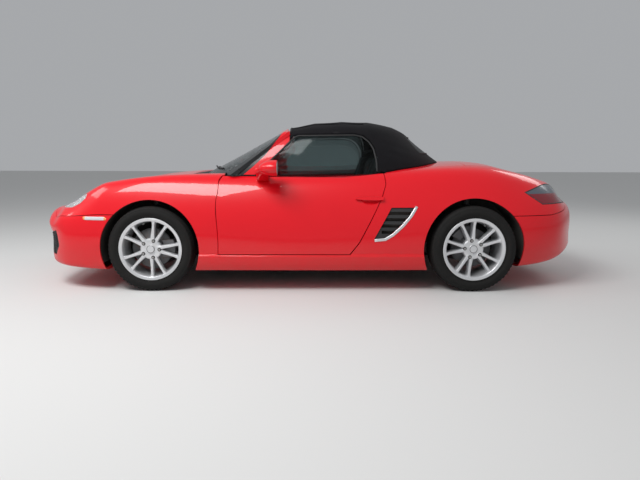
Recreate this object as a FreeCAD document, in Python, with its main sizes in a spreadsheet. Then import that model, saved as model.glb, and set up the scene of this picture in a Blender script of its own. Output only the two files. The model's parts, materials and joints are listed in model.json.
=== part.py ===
# Two seat open sports car with its engine ahead of the rear axle and its fabric roof closed.
# Lengths are in millimetres. X runs from nose to tail, the left side is at minus Y, Z is up,
# and the origin is on the ground under the middle of the car.
import FreeCAD, Part
import math
import os

DIMENSIONS = [
    # alias, size, what it is
    ("wheelbase", 2415, "front axle to rear axle"),
    ("front_overhang", 914.5, "nose to front axle"),
    ("rear_overhang", 999.5, "rear axle to tail"),
    ("half_width", 900.5, "middle to widest point of the rear wings"),
    ("front_track", 1490, "between the middles of the front tyres"),
    ("rear_track", 1534, "between the middles of the rear tyres"),
    ("front_tyre_radius", 318, "loaded radius"),
    ("rear_tyre_radius", 322, "loaded radius"),
    ("front_tyre_width", 205, "section width"),
    ("rear_tyre_width", 235, "section width"),
    ("rim_radius", 216, "seat of the tyre bead"),
    ("front_rim_offset", 55, "middle plane to bolting face"),
    ("rear_rim_offset", 40, "middle plane to bolting face"),
    ("disc_radius", 149, "brake disc"),
    ("front_arch_radius", 368, "front wheel opening"),
    ("rear_arch_radius", 380, "rear wheel opening"),
    ("front_well_inner", 455, "middle to inner wall of the front wheel well"),
    ("rear_well_inner", 590, "middle to inner wall of the rear wheel well"),
    ("liner", 8, "thickness of the wheel well liners"),
    ("skin", 16, "thickness of a body panel"),
    ("seam", 5, "gap between two panels"),
    ("seat_gap", 0.3, "gap of a piece that rests on a curved one"),
    ("lid_gap", 8, "room under the lids"),
    ("floor_bottom", 150, "ground to underside of the floor"),
    ("floor", 25, "thickness of the floor and bulkheads"),
    ("cabin_half", 600, "middle to inner face of the side frames"),
    ("frame_outer", 694, "middle to outer face of the side frames"),
    ("door_inner", 701, "middle to inner face of the doors"),
    ("sill_top", 281, "ground to top of the painted sill"),
    ("sill_step", 335, "ground to top of the inner sill"),
    ("pillar_top", 838, "ground to top of the hinge pillars"),
    ("door_front", 507, "front axle to front edge of the doors"),
    ("door_foot", 1488, "front axle to rear edge of the doors at the sill"),
    ("door_head", 1764, "front axle to rear edge of the doors at the belt"),
    ("hinge_back", 40, "front edge of the doors to hinge pins"),
    ("hinge_in", 35, "side of the body to hinge pins"),
    ("hinge_pin", 6, "radius of the hinge pins"),
    ("pin_play", 0.3, "play of the hinge pins"),
    ("post_half", 7, "half thickness of the posts that carry the pins of the lids"),
    ("grip_x", 382, "middle of the car to the middle of the door grips"),
    ("grip_z", 700, "ground to the door grips"),
    ("grip_side", 838, "middle to the centre of the dish behind a door grip"),
    ("door_taper", 28, "inner rear edge of the doors ahead of the outer one"),
    ("door_swing", 260, "reach of the door tops that swing below the windscreen frame"),
    ("pad_front", 450, "front axle to the front jacking pads"),
    ("pad_rear", 1910, "front axle to the rear jacking pads"),
    ("pad_half", 700, "middle to the jacking pads"),
    ("pad_bottom", 142, "ground to the face of the jacking pads"),
    ("bonnet_back", 265, "front axle to rear edge of the bonnet"),
    ("bonnet_front", 795, "front axle to front edge of the bonnet"),
    ("lid_front", 5, "rear axle to front edge of the rear lid"),
    ("roof_start", 1035, "front axle to rear edge of the windscreen header"),
    ("roof_fabric", 12, "thickness of the folding roof"),
    ("glass", 5, "thickness of the panes"),
    ("cowl_half", 620, "middle to the side of the windscreen well"),
    ("cover_front", 1765, "front axle to front edge of the roof cover"),
    ("cover_half", 600, "middle to the side of the roof cover"),
    ("engine_length", 420, "plain block for the engine"),
    ("engine_width", 620, "plain block for the engine"),
    ("engine_height", 430, "plain block for the engine"),
]

doc = FreeCAD.newDocument("roadster")
sheet = doc.addObject("Spreadsheet::Sheet", "size")
for row, (alias, amount, meaning) in enumerate(DIMENSIONS, 1):
    sheet.set(f"A{row}", meaning)
    sheet.set(f"B{row}", str(amount))
    sheet.setAlias(f"B{row}", alias)
doc.recompute()

X_FRONT = "((size.front_overhang - size.wheelbase - size.rear_overhang) / 2)"
X_REAR = "((size.front_overhang + size.wheelbase - size.rear_overhang) / 2)"
ABOVE = 2000
BESIDE = 1200


def num(rule):
    """Value in millimetres of a rule written with the sheet's names."""
    found = sheet.evalExpression(str(rule))
    return float(getattr(found, "Value", found))


def vec(x, y, z):
    return FreeCAD.Vector(num(x), num(y), num(z))


def bind(item, rules):
    for name, rule in rules.items():
        item.setExpression(name, str(rule))
    return item


def box(name, x, y, z):
    """Box between two rules on each axis."""
    return bind(doc.addObject("Part::Box", name), {
        "Placement.Base.x": x[0], "Placement.Base.y": y[0], "Placement.Base.z": z[0],
        "Length": f"({x[1]}) - ({x[0]})", "Width": f"({y[1]}) - ({y[0]})",
        "Height": f"({z[1]}) - ({z[0]})"})


def rod(name, start, axis, length, radius):
    """Cylinder from a start point along an axis."""
    item = doc.addObject("Part::Cylinder", name)
    turn = FreeCAD.Rotation(FreeCAD.Vector(0, 0, 1), FreeCAD.Vector(*axis))
    item.Placement = FreeCAD.Placement(FreeCAD.Vector(), turn)
    return bind(item, {
        "Placement.Base.x": start[0], "Placement.Base.y": start[1],
        "Placement.Base.z": start[2], "Radius": radius, "Height": length})


def solid(name, shape):
    item = doc.addObject("Part::Feature", name)
    item.Shape = shape
    return item


def join(name, *items):
    item = doc.addObject("Part::MultiFuse", name)
    item.Shapes = list(items)
    item.Refine = True
    return item


def cut(name, base, *tools):
    item = base
    for index, tool in enumerate(tools, 1):
        step = doc.addObject("Part::Cut", name if index == len(tools) else f"{name}_{index}")
        step.Base, step.Tool = item, tool
        item = step
    return item


def common(name, *items):
    item = doc.addObject("Part::MultiCommon", name)
    item.Shapes = list(items)
    return item


def mirror(name, source):
    item = doc.addObject("Part::Mirroring", name)
    item.Source = source
    item.Normal = FreeCAD.Vector(0, 1, 0)
    return item


def side_prism(name, outline, near, far):
    """Prism of a side view outline of x and z rules, between two y rules."""
    points = [vec(x, near, z) for x, z in outline]
    face = Part.Face(Part.makePolygon(points + points[:1]))
    return solid(name, face.extrude(FreeCAD.Vector(0, num(far) - num(near), 0)))


def plan_prism(name, outline, low, high):
    """Prism of a plan outline of x and y rules, between two z rules."""
    points = [vec(x, y, low) for x, y in outline]
    face = Part.Face(Part.makePolygon(points + points[:1]))
    return solid(name, face.extrude(FreeCAD.Vector(0, 0, num(high) - num(low))))


# Body form

# Half sections of the outer skin. Those of the nose and the tail fan out round the corners,
# so each runs from a point on the middle line to one on the widest line of the side.
# Places count outwards from an axle: nose and tail as shares of the overhang, middle as
# shares of the wheelbase. side is a share of the half width.
# zone, top_at, side_at, side, top_z, valley_z, crest_in, crest_z, shoulder_in, shoulder_z,
# side_z, waist_in, waist_z, sill_in, sill_z, edge_in, edge_z
BODY_SECTIONS = [
    ("nose", .547, 1.013, 0.00, 712, 643, 165, 622, 60, 578, 490, 35, 300, 28, 225, 70, 178),
    ("nose", .525, 1.013, .166, 719, 645, 165, 624, 60, 580, 490, 35, 300, 28, 225, 70, 176),
    ("nose", .481, 1.005, .400, 734, 662, 170, 648, 65, 590, 488, 33, 300, 26, 220, 68, 172),
    ("nose", .426, .962, .690, 752, 695, 170, 700, 75, 612, 482, 26, 300, 26, 205, 66, 166),
    ("nose", .361, .784, .876, 772, 740, 170, 765, 85, 665, 478, 18, 300, 28, 190, 66, 160),
    ("nose", .262, .503, .947, 800, 776, 175, 818, 90, 720, 480, 10, 310, 28, 172, 62, 152),
    ("nose", .109, .186, .976, 838, 815, 180, 862, 90, 768, 510, 6, 330, 25, 165, 58, 148),
    ("middle", .041, .041, .979, 872, 850, 180, 884, 90, 786, 530, 5, 330, 20, 165, 56, 146),
    ("middle", .186, .186, .967, 890, 872, 180, 884, 90, 790, 540, 0, 310, 12, 168, 50, 146),
    ("middle", .393, .393, .960, 898, 885, 180, 880, 88, 792, 540, -14, 290, 2, 165, 45, 146),
    ("middle", .627, .627, .965, 905, 892, 180, 892, 87, 800, 540, -12, 290, 6, 165, 45, 146),
    ("middle", .814, .814, .985, 935, 918, 190, 916, 102, 812, 550, 4, 300, 24, 165, 60, 148),
    ("middle", .959, .959, 1.012, 968, 950, 215, 930, 125, 820, 560, 10, 330, 45, 170, 80, 152),
    ("tail", .180, .230, 1.007, 968, 948, 225, 915, 130, 810, 560, 10, 340, 50, 185, 85, 162),
    ("tail", .330, .520, .960, 938, 915, 225, 880, 125, 780, 565, 15, 345, 60, 200, 100, 178),
    ("tail", .430, .750, .824, 897, 872, 200, 842, 110, 740, 570, 16, 350, 55, 235, 110, 192),
    ("tail", .500, .893, .620, 880, 836, 175, 810, 88, 710, 575, 16, 370, 30, 290, 115, 205),
    ("tail", .550, .985, .387, 868, 812, 150, 788, 70, 690, 575, 16, 375, 24, 300, 115, 215),
    ("tail", .580, 1.012, .166, 860, 802, 130, 778, 60, 682, 575, 16, 380, 20, 305, 110, 220),
    ("tail", .590, 1.012, 0.00, 857, 800, 130, 776, 60, 680, 575, 16, 380, 20, 305, 110, 220),
]
# datum, scale, fall of the middle line away from the cabin
ZONES = {"nose": (num(X_FRONT), -num("size.front_overhang"), 0.36),
         "middle": (num(X_FRONT), num("size.wheelbase"), 0),
         "tail": (num(X_REAR), num("size.rear_overhang"), 0.28)}


def body_poles():
    rows = []
    for (zone, top_at, side_at, side, top_z, valley_z, crest_in, crest_z, shoulder_in,
         shoulder_z, side_z, waist_in, waist_z, sill_in, sill_z, edge_in, edge_z) in BODY_SECTIONS:
        datum, scale, fall = ZONES[zone]
        top_x = datum + top_at * scale
        side_x = datum + side_at * scale
        side_y = side * num("size.half_width")
        reach = math.hypot(side_x - top_x, side_y)
        crest = reach - crest_in
        mid_z = top_z - fall * 0.40 * crest * abs(side_x - top_x) / reach
        flare = reach - sill_in + 0.3 * (sill_in - waist_in)
        section = [(0, top_z), (0.40 * crest, mid_z), (0.78 * crest, valley_z), (crest, crest_z),
                   (reach - shoulder_in, shoulder_z), (reach, side_z), (reach - waist_in, waist_z),
                   (flare, (waist_z + sill_z) / 2), (reach - sill_in, sill_z),
                   (reach - edge_in, edge_z), (reach / 2, edge_z), (0, edge_z)]
        rows.append([(top_x + (side_x - top_x) * out / reach, side_y * out / reach, z)
                     for out, z in section])
    return rows


def inward(rows, depth, ends):
    """Poles moved inwards by a depth. ends says which boundaries stay in their plane."""
    last_row, last = len(rows) - 1, len(rows[0]) - 1

    def pole(i, j):
        side = 1
        if j < 0:
            j, side = -j, -side
        if j > last:
            j, side = (2 * last - j, -side) if "mirror_foot" in ends else (last, side)
        if i < 0:
            i, side = (-i, -side) if "mirror_head" in ends else (0, side)
        if i > last_row:
            i, side = 2 * last_row - i, -side
        x, y, z = rows[i][j]
        return FreeCAD.Vector(x, side * y, z)

    moved = []
    for i, row in enumerate(rows):
        line = []
        for j, (x, y, z) in enumerate(row):
            out = (pole(i + 1, j) - pole(i - 1, j)).cross(pole(i, j + 1) - pole(i, j - 1))
            if y == 0:
                out.y = 0
            if i == 0 and "mirror_head" not in ends:
                out.x = 0
            if j == last and "mirror_foot" not in ends:
                out.z = 0
            if out.Length < 1e-6:
                out = FreeCAD.Vector(0, 0, 1 if j == 0 else -1)
            out.normalize()
            line.append((x - out.x * depth, y - out.y * depth, z - out.z * depth))
        moved.append(line)
    return moved


def patch(rows, side):
    """Cubic surface over a net of poles."""
    def knots(count):
        spans = count - 3
        return [k / spans for k in range(spans + 1)], [4] + [1] * (spans - 1) + [4]

    along, along_times = knots(len(rows))
    across, across_times = knots(len(rows[0]))
    surface = Part.BSplineSurface()
    surface.buildFromPolesMultsKnots(
        [[FreeCAD.Vector(x, side * y, z) for x, y, z in row] for row in rows],
        along_times, across_times, along, across, False, False, 3, 3)
    return surface.toShape()


def closed(faces):
    shell = Part.makeShell(faces)
    shell.sewShape()
    made = Part.makeSolid(shell.Shells[0])
    if made.Volume < 0:
        made.reverse()
    return made


def body_solid(name, depth):
    rows = body_poles()
    if depth:
        rows = inward(rows, depth, ("mirror_foot", "mirror_head"))
    return solid(name, closed([patch(rows, -1), patch(rows, 1)]))


hull = body_solid("hull", 0)
hull_inside = body_solid("hull_inside", num("size.skin"))
hull_room = body_solid("hull_room", num("size.skin + size.seat_gap"))
hull_low = body_solid("hull_low", num("size.skin + size.lid_gap"))
hull_deep = body_solid("hull_deep", 60)
wall = cut("wall", hull, hull_inside)

# Cutters that divide the skin into its panels

door_front = f"({X_FRONT} + size.door_front)"
pin_x = f"({door_front} + size.hinge_back)"
pin_y = "(size.half_width * 0.960 - size.hinge_in)"
door_foot = f"({X_FRONT} + size.door_foot)"
door_head = f"({X_FRONT} + size.door_head)"
pin_reach = "sqrt(size.hinge_back^2 + size.hinge_in^2)"


def door_region(name, grow, inner):
    """Room of a left door: its side outline, with a rounded front about the hinge pins."""
    low = f"(size.sill_top + size.seam + 1 - {grow})"
    foot, head = (f"{edge} + {grow} * 1.25" for edge in (door_foot, door_head))
    rear = [(foot, low), (f"{foot} + 70", f"{low} + 90"), (f"{head} - 30", "700"),
            (f"{head} + 12", "800"), (f"{head} + 20", "1100")]
    outline = [(f"{pin_x} - 300", low)] + rear + [(f"{pin_x} - 300", "1100")]
    points = [vec(x, "-size.half_width", z) for x, z in outline]
    slant = FreeCAD.Vector(-num("size.door_taper"), 170, 0) * (400 / 170)
    body = solid(f"{name}_slant", Part.Face(Part.makePolygon(points + points[:1])).extrude(slant))
    flat = box(f"{name}_flat", (f"{pin_x} - {grow}", f"{pin_x} + 2000"), (-BESIDE, f"-({inner})"),
               (0, ABOVE))
    nose = rod(f"{name}_nose", (pin_x, f"-{pin_y}", low), (0, 0, 1), f"1100 - {low}",
               f"{pin_reach} + {grow}")
    keep = box(f"{name}_keep", (f"{pin_x} - 200", pin_x), (-BESIDE, f"-({inner})"), (0, ABOVE))
    lip = plan_prism(f"{name}_lip", [
        (f"{pin_x} - {x} - {grow}", f"{y} * (1 + {grow} / 30) - {pin_y}") for x, y in (
            (-20, 0), (40, 0), (40, 75), (28, 100), (14, 127), (-20, 127))], low, 1100)
    return join(name, common(f"{name}_body", body, flat), common(f"{name}_front", nose, keep), lip)


arches = []
for end, axle, well in (("front", X_FRONT, "front"), ("rear", X_REAR, "rear")):
    arches.append(rod(f"{end}_arch", (axle, f"-{BESIDE}", f"size.{end}_tyre_radius"), (0, 1, 0),
                      f"{BESIDE} - size.{end}_well_inner", f"size.{end}_arch_radius"))
front_arch, rear_arch = arches

door_room = door_region("door_room", "0", "size.door_inner")
door_gap = door_region("door_gap", "size.seam", "size.cabin_half")

BUMPER_LINE = [  # x from the axle, z of the seam on top of the front bumper
    (-200, 572), (-690, 576), (-760, 600), (-860, 690), (-1000, 690)]
TAIL_LINE = [  # x from the axle, z of the seam on top of the rear bumper
    (250, 570), (600, 572), (780, 600), (880, 655), (1100, 655)]


def bumper_room(name, line, axle, shift, end):
    outline = [(f"{axle} + {x}", f"{z} + ({shift})") for x, z in line]
    return side_prism(name, outline + [(end, 0), (f"{axle} + {line[0][0]}", 0)], -BESIDE, BESIDE)


front_room = bumper_room("front_room", BUMPER_LINE, X_FRONT, "0", "-3000")
front_gap = bumper_room("front_gap", BUMPER_LINE, X_FRONT, "size.seam", "-3000")
rear_room = bumper_room("rear_room", TAIL_LINE, X_REAR, "0", "3000")
rear_gap = bumper_room("rear_gap", TAIL_LINE, X_REAR, "size.seam", "3000")

bonnet_x = f"({X_FRONT} + size.bonnet_back - 20)"
bonnet_z = 846
lid_x = f"({X_REAR} + size.lid_front + 20)"
lid_z = 931
LID_PIVOT = "40"
BONNET_PLAN = [(-1100, 330), (-740, 400), (-560, 480), (-250, 575), (400, 610)]
LID_PLAN = [(-100, 585), (520, 570), (760, 500), (1100, 430)]


def lid_room(name, plan, axle, grow, pivot, sign):
    """Room of a lid seen from above, ended by a round edge about its hinge."""
    half = [(f"{axle} + {x}", f"{y} + ({grow})") for x, y in plan]
    outline = half + [(x, f"-({y})") for x, y in reversed(half)]
    body = plan_prism(f"{name}_plan", outline, 560, ABOVE)
    px, pz = pivot
    span = (px, f"{px} + {sign} * 2000")
    behind = box(f"{name}_behind", span if sign > 0 else span[::-1], (-BESIDE, BESIDE),
                 (500, ABOVE))
    shifted = f"({px} - {sign} * ({grow}))"
    bind(behind, {"Placement.Base.x": shifted if sign > 0 else f"{shifted} - 2000",
                  "Length": 2000})
    knuckle = rod(f"{name}_round", (px, -BESIDE, pz), (0, 1, 0), 2 * BESIDE,
                  f"{LID_PIVOT} + ({grow})")
    return common(name, body, join(f"{name}_edge", behind, knuckle))


bonnet_reach = f"({bonnet_x} - {X_FRONT} + size.bonnet_front)"
bonnet_room = common("bonnet_room", lid_room("bonnet_lid", BONNET_PLAN, X_FRONT, "0",
                                             (bonnet_x, bonnet_z), -1),
                     rod("bonnet_swing", (bonnet_x, -BESIDE, bonnet_z), (0, 1, 0), 2 * BESIDE,
                         bonnet_reach))
bonnet_gap = common("bonnet_gap", lid_room("bonnet_hole", BONNET_PLAN, X_FRONT, "size.seam",
                                           (bonnet_x, bonnet_z), -1),
                    rod("bonnet_sweep", (bonnet_x, -BESIDE, bonnet_z), (0, 1, 0), 2 * BESIDE,
                        f"{bonnet_reach} + size.seam"))
lid_space = lid_room("lid_space", LID_PLAN, X_REAR, "0", (lid_x, lid_z), 1)
lid_gap = lid_room("lid_hole", LID_PLAN, X_REAR, "size.seam", (lid_x, lid_z), 1)

NODES = []


def node(item, label):
    item.Label = label
    NODES.append(item)
    return item


def pair(item, label):
    """A left piece and its mirror image."""
    node(item, f"{label}_left")
    return item, node(mirror(f"{label}_twin", item), f"{label}_right")


# Roof form

# Half sections of the folding roof and side windows, fanning out round the rear corners.
# Lengths count from the header, heights from the ground, and the shares run from the middle
# line to the foot of each section.
# top_at, foot_at, foot_y, crown_z, flat, brow, brow_z, bend, bend_z, rail, rail_z, foot_z
ROOF_SECTIONS = [
    (-470, -470, 726, 1226, .34, .62, 1218, .775, 1184, .865, 1062, 860),
    (-100, -100, 728, 1226, .34, .62, 1218, .775, 1186, .865, 1063, 860),
    (20, 20, 729, 1236, .34, .625, 1227, .778, 1194, .866, 1068, 862),
    (100, 100, 731, 1262, .34, .63, 1252, .785, 1208, .866, 1080, 864),
    (220, 220, 734, 1281, .34, .635, 1269, .79, 1220, .868, 1090, 868),
    (400, 400, 736, 1292, .34, .635, 1278, .79, 1226, .868, 1098, 876),
    (500, 600, 734, 1291, .33, .62, 1276, .775, 1223, .862, 1098, 884),
    (560, 820, 705, 1290, .29, .57, 1268, .72, 1216, .835, 1094, 900),
    (595, 1040, 590, 1289, .22, .47, 1256, .63, 1212, .79, 1090, 930),
    (612, 1190, 400, 1288, .16, .38, 1246, .55, 1216, .73, 1087, 958),
    (622, 1262, 170, 1288, .13, .33, 1240, .51, 1221, .70, 1086, 973),
    (625, 1275, 0, 1288, .12, .32, 1238, .50, 1222, .69, 1085, 975),
]
ROOF_BASE = 700
roof_x = f"({X_FRONT} + size.roof_start)"


def roof_solid(name, depth):
    rows = []
    for (top_at, foot_at, foot_y, crown_z, flat, brow, brow_z, bend, bend_z, rail, rail_z,
         foot_z) in ROOF_SECTIONS:
        section = [(0, crown_z), (flat, crown_z), (brow, brow_z), (bend, bend_z),
                   (rail, rail_z), (1, foot_z), (1, ROOF_BASE)]
        rows.append([(num(roof_x) + top_at + (foot_at - top_at) * share, foot_y * share, z)
                     for share, z in section])
    if depth:
        rows = inward(rows, depth, ())
    near, far = patch(rows, -1), patch(rows, 1)
    head = [FreeCAD.Vector(*rows[0][0]), FreeCAD.Vector(*rows[0][-1])]
    tip = FreeCAD.Vector(*rows[-1][-1])
    flats = []
    for side in (-1, 1):
        face = near if side < 0 else far
        foot = FreeCAD.Vector(head[1].x, side * head[1].y, head[1].z)
        middle = FreeCAD.Vector(head[1].x, 0, head[1].z)
        ends = {"front": (foot, head[0]), "base": (foot, tip)}
        for start, finish in ends.values():
            arc = [edge for edge in face.Edges
                   if {tuple(round(c, 4) for c in v.Point) for v in edge.Vertexes}
                   == {tuple(round(c, 4) for c in p) for p in (start, finish)}][0]
            lines = [Part.makeLine(start, middle), Part.makeLine(middle, finish)]
            flats.append(Part.Face(Part.Wire(Part.__sortEdges__([arc] + lines))))
    return solid(name, closed([near, far] + flats))


dome = roof_solid("dome", 0)
dome_lining = roof_solid("dome_lining", num("size.roof_fabric"))
dome_pane = roof_solid("dome_pane", 3)
dome_pane_inside = roof_solid("dome_pane_inside", 3 + num("size.glass"))

WINDOW = [  # x behind the front axle, z
    (782, 800), (782, 868), (1070, 1152), (1100, 1166), (1535, 1172), (1595, 1158), (1648, 1116),
    (1680, 1062), (1698, 980), (1704, 900), (1704, 800)]
PILLAR = [  # x behind the front axle, z
    (610, 850), (755, 850), (1032, 1123), (1032, 1200), (985, 1190)]


def window_prism(name, grow, side):
    middle_x = sum(x for x, z in WINDOW) / len(WINDOW)
    middle_z = 1000
    outline = []
    for x, z in WINDOW:
        dx = math.copysign(1, x - middle_x) * grow
        dz = math.copysign(1, z - middle_z) * grow
        outline.append((f"{X_FRONT} + {x} + {dx}", z + dz))
    return side_prism(name, outline, side * 300, side * BESIDE)


seam = num("size.seam")
window = window_prism("window", 0, -1)
roof_holes = [window_prism(f"window_gap_{side + 1}", seam + 1, side) for side in (-1, 1)]
back_light = Part.makePolygon([FreeCAD.Vector(num(roof_x) + 600, y, z) for y, z in (
    (-330, 1158), (330, 1158), (410, 1036), (-410, 1036), (-330, 1158))])
back_hole = solid("back_hole", Part.Face(back_light).extrude(FreeCAD.Vector(900, 0, 0)))
roof_shell = cut("roof_shell", dome, dome_lining)
pane_shell = cut("pane_shell", dome_pane, dome_pane_inside)

# Windscreen

SCREEN = {  # ends and middles of the lower and upper edge: x behind the front axle, y, z
    "low_side": (586, 736, 862), "low_middle": (322, 0, 868),
    "high_side": (1024, 578, 1196), "high_middle": (1004, 0, 1238)}
SCREEN_IN = FreeCAD.Vector(0.486, 0, -0.874)


def screen_face(low, high, start, finish, depth):
    """Part of the windscreen's surface between shares of its height and width."""
    rows = []
    for level in ("low", "high"):
        x, y, z = SCREEN[f"{level}_side"]
        mx, _, mz = SCREEN[f"{level}_middle"]
        datum = num(X_FRONT)
        rows.append([FreeCAD.Vector(datum + x, -y, z),
                     FreeCAD.Vector(datum + 2 * mx - x, 0, 2 * mz - z),
                     FreeCAD.Vector(datum + x, y, z)])
    surface = Part.BSplineSurface()
    surface.buildFromPolesMultsKnots(rows, [2, 2], [3, 3], [0, 1], [0, 1], False, False, 1, 2)
    surface.segment(low, high, start, finish)
    face = surface.toShape()
    face.translate(SCREEN_IN * depth)
    return face


screen_blank = solid("screen_blank", screen_face(0, 1, 0, 1, 0).extrude(SCREEN_IN * 28))
screen_hole = solid("screen_hole", screen_face(.09, .89, .055, .945, -30).extrude(SCREEN_IN * 90))
hull_sides = cut("hull_sides", hull, box("hull_middle", (-3000, 3000),
                                         ("-size.cowl_half", "size.cowl_half"), (0, ABOVE)))

# Skin panels

above_sill = "size.sill_top + size.seat_gap"
front_skin = box("front_skin", (-3000, f"{X_FRONT} + size.bonnet_back + 325"),
                 (-BESIDE, "-300"), (above_sill, ABOVE))
rear_skin = box("rear_skin", (f"{door_foot} - 20", 3000), (-BESIDE, "-300"),
                (above_sill, ABOVE))
cowl_cut = box("cowl_cut", (f"{X_FRONT} + size.bonnet_back - 10", f"{X_FRONT} + 1800"),
               ("-size.cowl_half", "size.cowl_half"), (700, ABOVE))
cover_x = f"({X_FRONT} + size.cover_front)"
cover_room = box("cover_room", (cover_x, lid_x), ("-size.cover_half", "size.cover_half"),
                 (700, ABOVE))
cover_gap = box("cover_gap", (f"{X_FRONT} + 1000", lid_x),
                ("-size.cover_half - size.seam", "size.cover_half + size.seam"), (700, ABOVE))
cabin_hole = box("cabin_hole", (f"{X_FRONT} + 1000", cover_x),
                 ("-size.door_inner", "size.door_inner"), (700, ABOVE))


def lamp_prism(name, outline, height, direction, reach):
    """Prism of a plan outline of x and y rules, run both ways along a slanted direction."""
    way = FreeCAD.Vector(*direction)
    way.normalize()
    points = [vec(x, y, height) - way * reach for x, y in outline]
    return solid(name, Part.Face(Part.makePolygon(points + points[:1])).extrude(way * 2 * reach))


headlamp_hole = lamp_prism("headlamp_hole", [
    (f"{X_FRONT} + ({x})", y) for x, y in (
        (-705, -470), (-640, -478), (-560, -520), (-490, -590), (-455, -655), (-470, -695),
        (-530, -715), (-610, -700), (-680, -640), (-720, -560), (-725, -500))],
    680, (-.45, -.35, .82), 260)
tail_lamp_hole = side_prism("tail_lamp_hole", [
    (f"{X_REAR} + {x}", z) for x, z in (
        (390, 752), (560, 812), (620, 826), (1100, 790), (1100, 662), (880, 662), (760, 660),
        (530, 655))], -BESIDE, -470)

headlamp_twin = mirror("headlamp_hole_twin", headlamp_hole)
vent_hole = side_prism("vent_hole", [(f"{X_FRONT} + {x}", z) for x, z in (
    (1794, 632), (1972, 634), (1930, 575), (1868, 505), (1800, 442), (1745, 408), (1664, 400))],
    -BESIDE, -700)
pipe_hole = box("pipe_hole", (f"{X_REAR} + 700", 3000), (-98, 98), (0, 352))


def front_prism(name, outline):
    """Prism of a front view outline of y and z rules, through the nose."""
    points = [vec(-3000, y, z) for y, z in outline]
    face = Part.Face(Part.makePolygon(points + points[:1]))
    return solid(name, face.extrude(FreeCAD.Vector(3000 + num(X_FRONT) - 420, 0, 0)))


INTAKE = [(-330, 415), (-560, 425), (-720, 450), (-735, 330), (-690, 255), (-400, 245),
          (-330, 300)]
intakes = join("intakes", front_prism("left_intake", INTAKE),
               front_prism("right_intake", [(-y, z) for y, z in INTAKE]),
               front_prism("middle_intake", [(-260, 330), (-240, 240), (240, 240), (260, 330)]))
fender = cut("fender", common("fender_blank", wall, front_skin), front_gap, front_arch,
             door_gap, bonnet_gap, cowl_cut, headlamp_hole)
nose_skin = cut("nose_skin", common("nose_blank", wall, front_room), bonnet_gap, front_arch,
                mirror("front_arch_twin", front_arch), headlamp_hole,
                headlamp_twin, intakes)
bonnet_skin = cut("bonnet_skin", common("bonnet_blank", wall, bonnet_room), front_gap)
lid_skin = cut("lid_skin", common("lid_blank", wall, lid_space), rear_gap)
tail_skin = cut("tail_skin", common("tail_blank", wall, rear_room), rear_arch,
                mirror("rear_arch_twin", rear_arch), pipe_hole)
quarter = cut("quarter", common("quarter_blank", wall, rear_skin), rear_gap, rear_arch,
              door_gap, lid_gap, cover_gap, cabin_hole, tail_lamp_hole, vent_hole)
cover_skin = cut("cover_skin", common("cover_blank", wall, cover_room), lid_gap,
                 roof_solid("dome_deep", 34))

lamp_ring = cut("lamp_ring", hull, hull_deep)
headlamp = cut("headlamp", common("headlamp_blank", lamp_ring, headlamp_hole), bonnet_gap)
tail_lamp = cut("tail_lamp", common("tail_lamp_blank", wall, tail_lamp_hole), lid_gap)
hull_half = body_solid("hull_half", num("size.skin") / 2)
thin_wall = cut("thin_wall", hull_half, hull_inside)


def slotted(name, blank, x, y, first, pitch, count, height):
    """A grille: a curved plate with level slots."""
    slots = [box(f"{name}_slot_{k}", x, y, (first + k * pitch, first + k * pitch + height))
             for k in range(count)]
    return cut(name, blank, join(f"{name}_slots", *slots))


side_vent = slotted("side_vent", common("vent_blank", thin_wall, vent_hole),
                    (f"{X_FRONT} + 1720", f"{X_FRONT} + 1950"), (-BESIDE, -700), 440, 46, 4, 24)
side_vent = cut("side_vent_gap", side_vent, door_gap)
bumper_grille = common("bumper_grille", thin_wall, intakes)

# Doors

HINGE_LEVELS = (370, 540)
door_block = common("door_block", hull, door_room)
pane = common("pane", pane_shell, window)
door_cuts, frame_hinges = [pane], []
for level in HINGE_LEVELS:
    door_cuts.append(box(f"hinge_notch_{level}", (f"{pin_x} - 90", f"{pin_x} + 18"),
                         (f"-{pin_y} - 16", "-size.door_inner + 10"), (level - 17, level + 17)))
    door_cuts.append(rod(f"hinge_bore_{level}", (pin_x, f"-{pin_y}", level - 28), (0, 0, 1), 56,
                         "size.hinge_pin + size.pin_play"))
    frame_hinges.append(box(f"hinge_arm_{level}", (f"{pin_x} - 9", f"{pin_x} + 9"),
                            (f"-{pin_y}", "-size.frame_outer + 5"), (level - 12, level + 12)))
    frame_hinges.append(rod(f"hinge_eye_{level}", (pin_x, f"-{pin_y}", level - 12), (0, 0, 1),
                            24, "size.hinge_pin + 5"))
    frame_hinges.append(rod(f"hinge_pin_{level}", (pin_x, f"-{pin_y}", level - 26), (0, 0, 1),
                            52, "size.hinge_pin"))
door_cuts.append(bind(doc.addObject("Part::Ellipsoid", "grip_dish"), {
    "Placement.Base.x": "size.grip_x + 8", "Placement.Base.y": "-size.grip_side",
    "Placement.Base.z": "size.grip_z - 8", "Radius1": 40, "Radius2": 84, "Radius3": 26}))
grip_band = cut("grip_band", body_solid("grip_out", -20), body_solid("grip_in", -5))
grip_end = common("grip_end", cut("grip_foot_band", body_solid("grip_face", -19), hull_inside),
                  side_prism("grip_feet", [("size.grip_x + 88", "size.grip_z - 12"),
                                           ("size.grip_x + 104", "size.grip_z - 10"),
                                           ("size.grip_x + 104", "size.grip_z + 12"),
                                           ("size.grip_x + 88", "size.grip_z + 12")],
                             -BESIDE, -700))
grip_start = common("grip_start", body_solid("grip_nose", -19), side_prism(
    "grip_front", [("size.grip_x - 104", "size.grip_z - 4"),
                   ("size.grip_x - 84", "size.grip_z - 10"),
                   ("size.grip_x - 84", "size.grip_z + 10"),
                   ("size.grip_x - 104", "size.grip_z + 4")], -BESIDE, "-size.grip_side + 20"))
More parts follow.
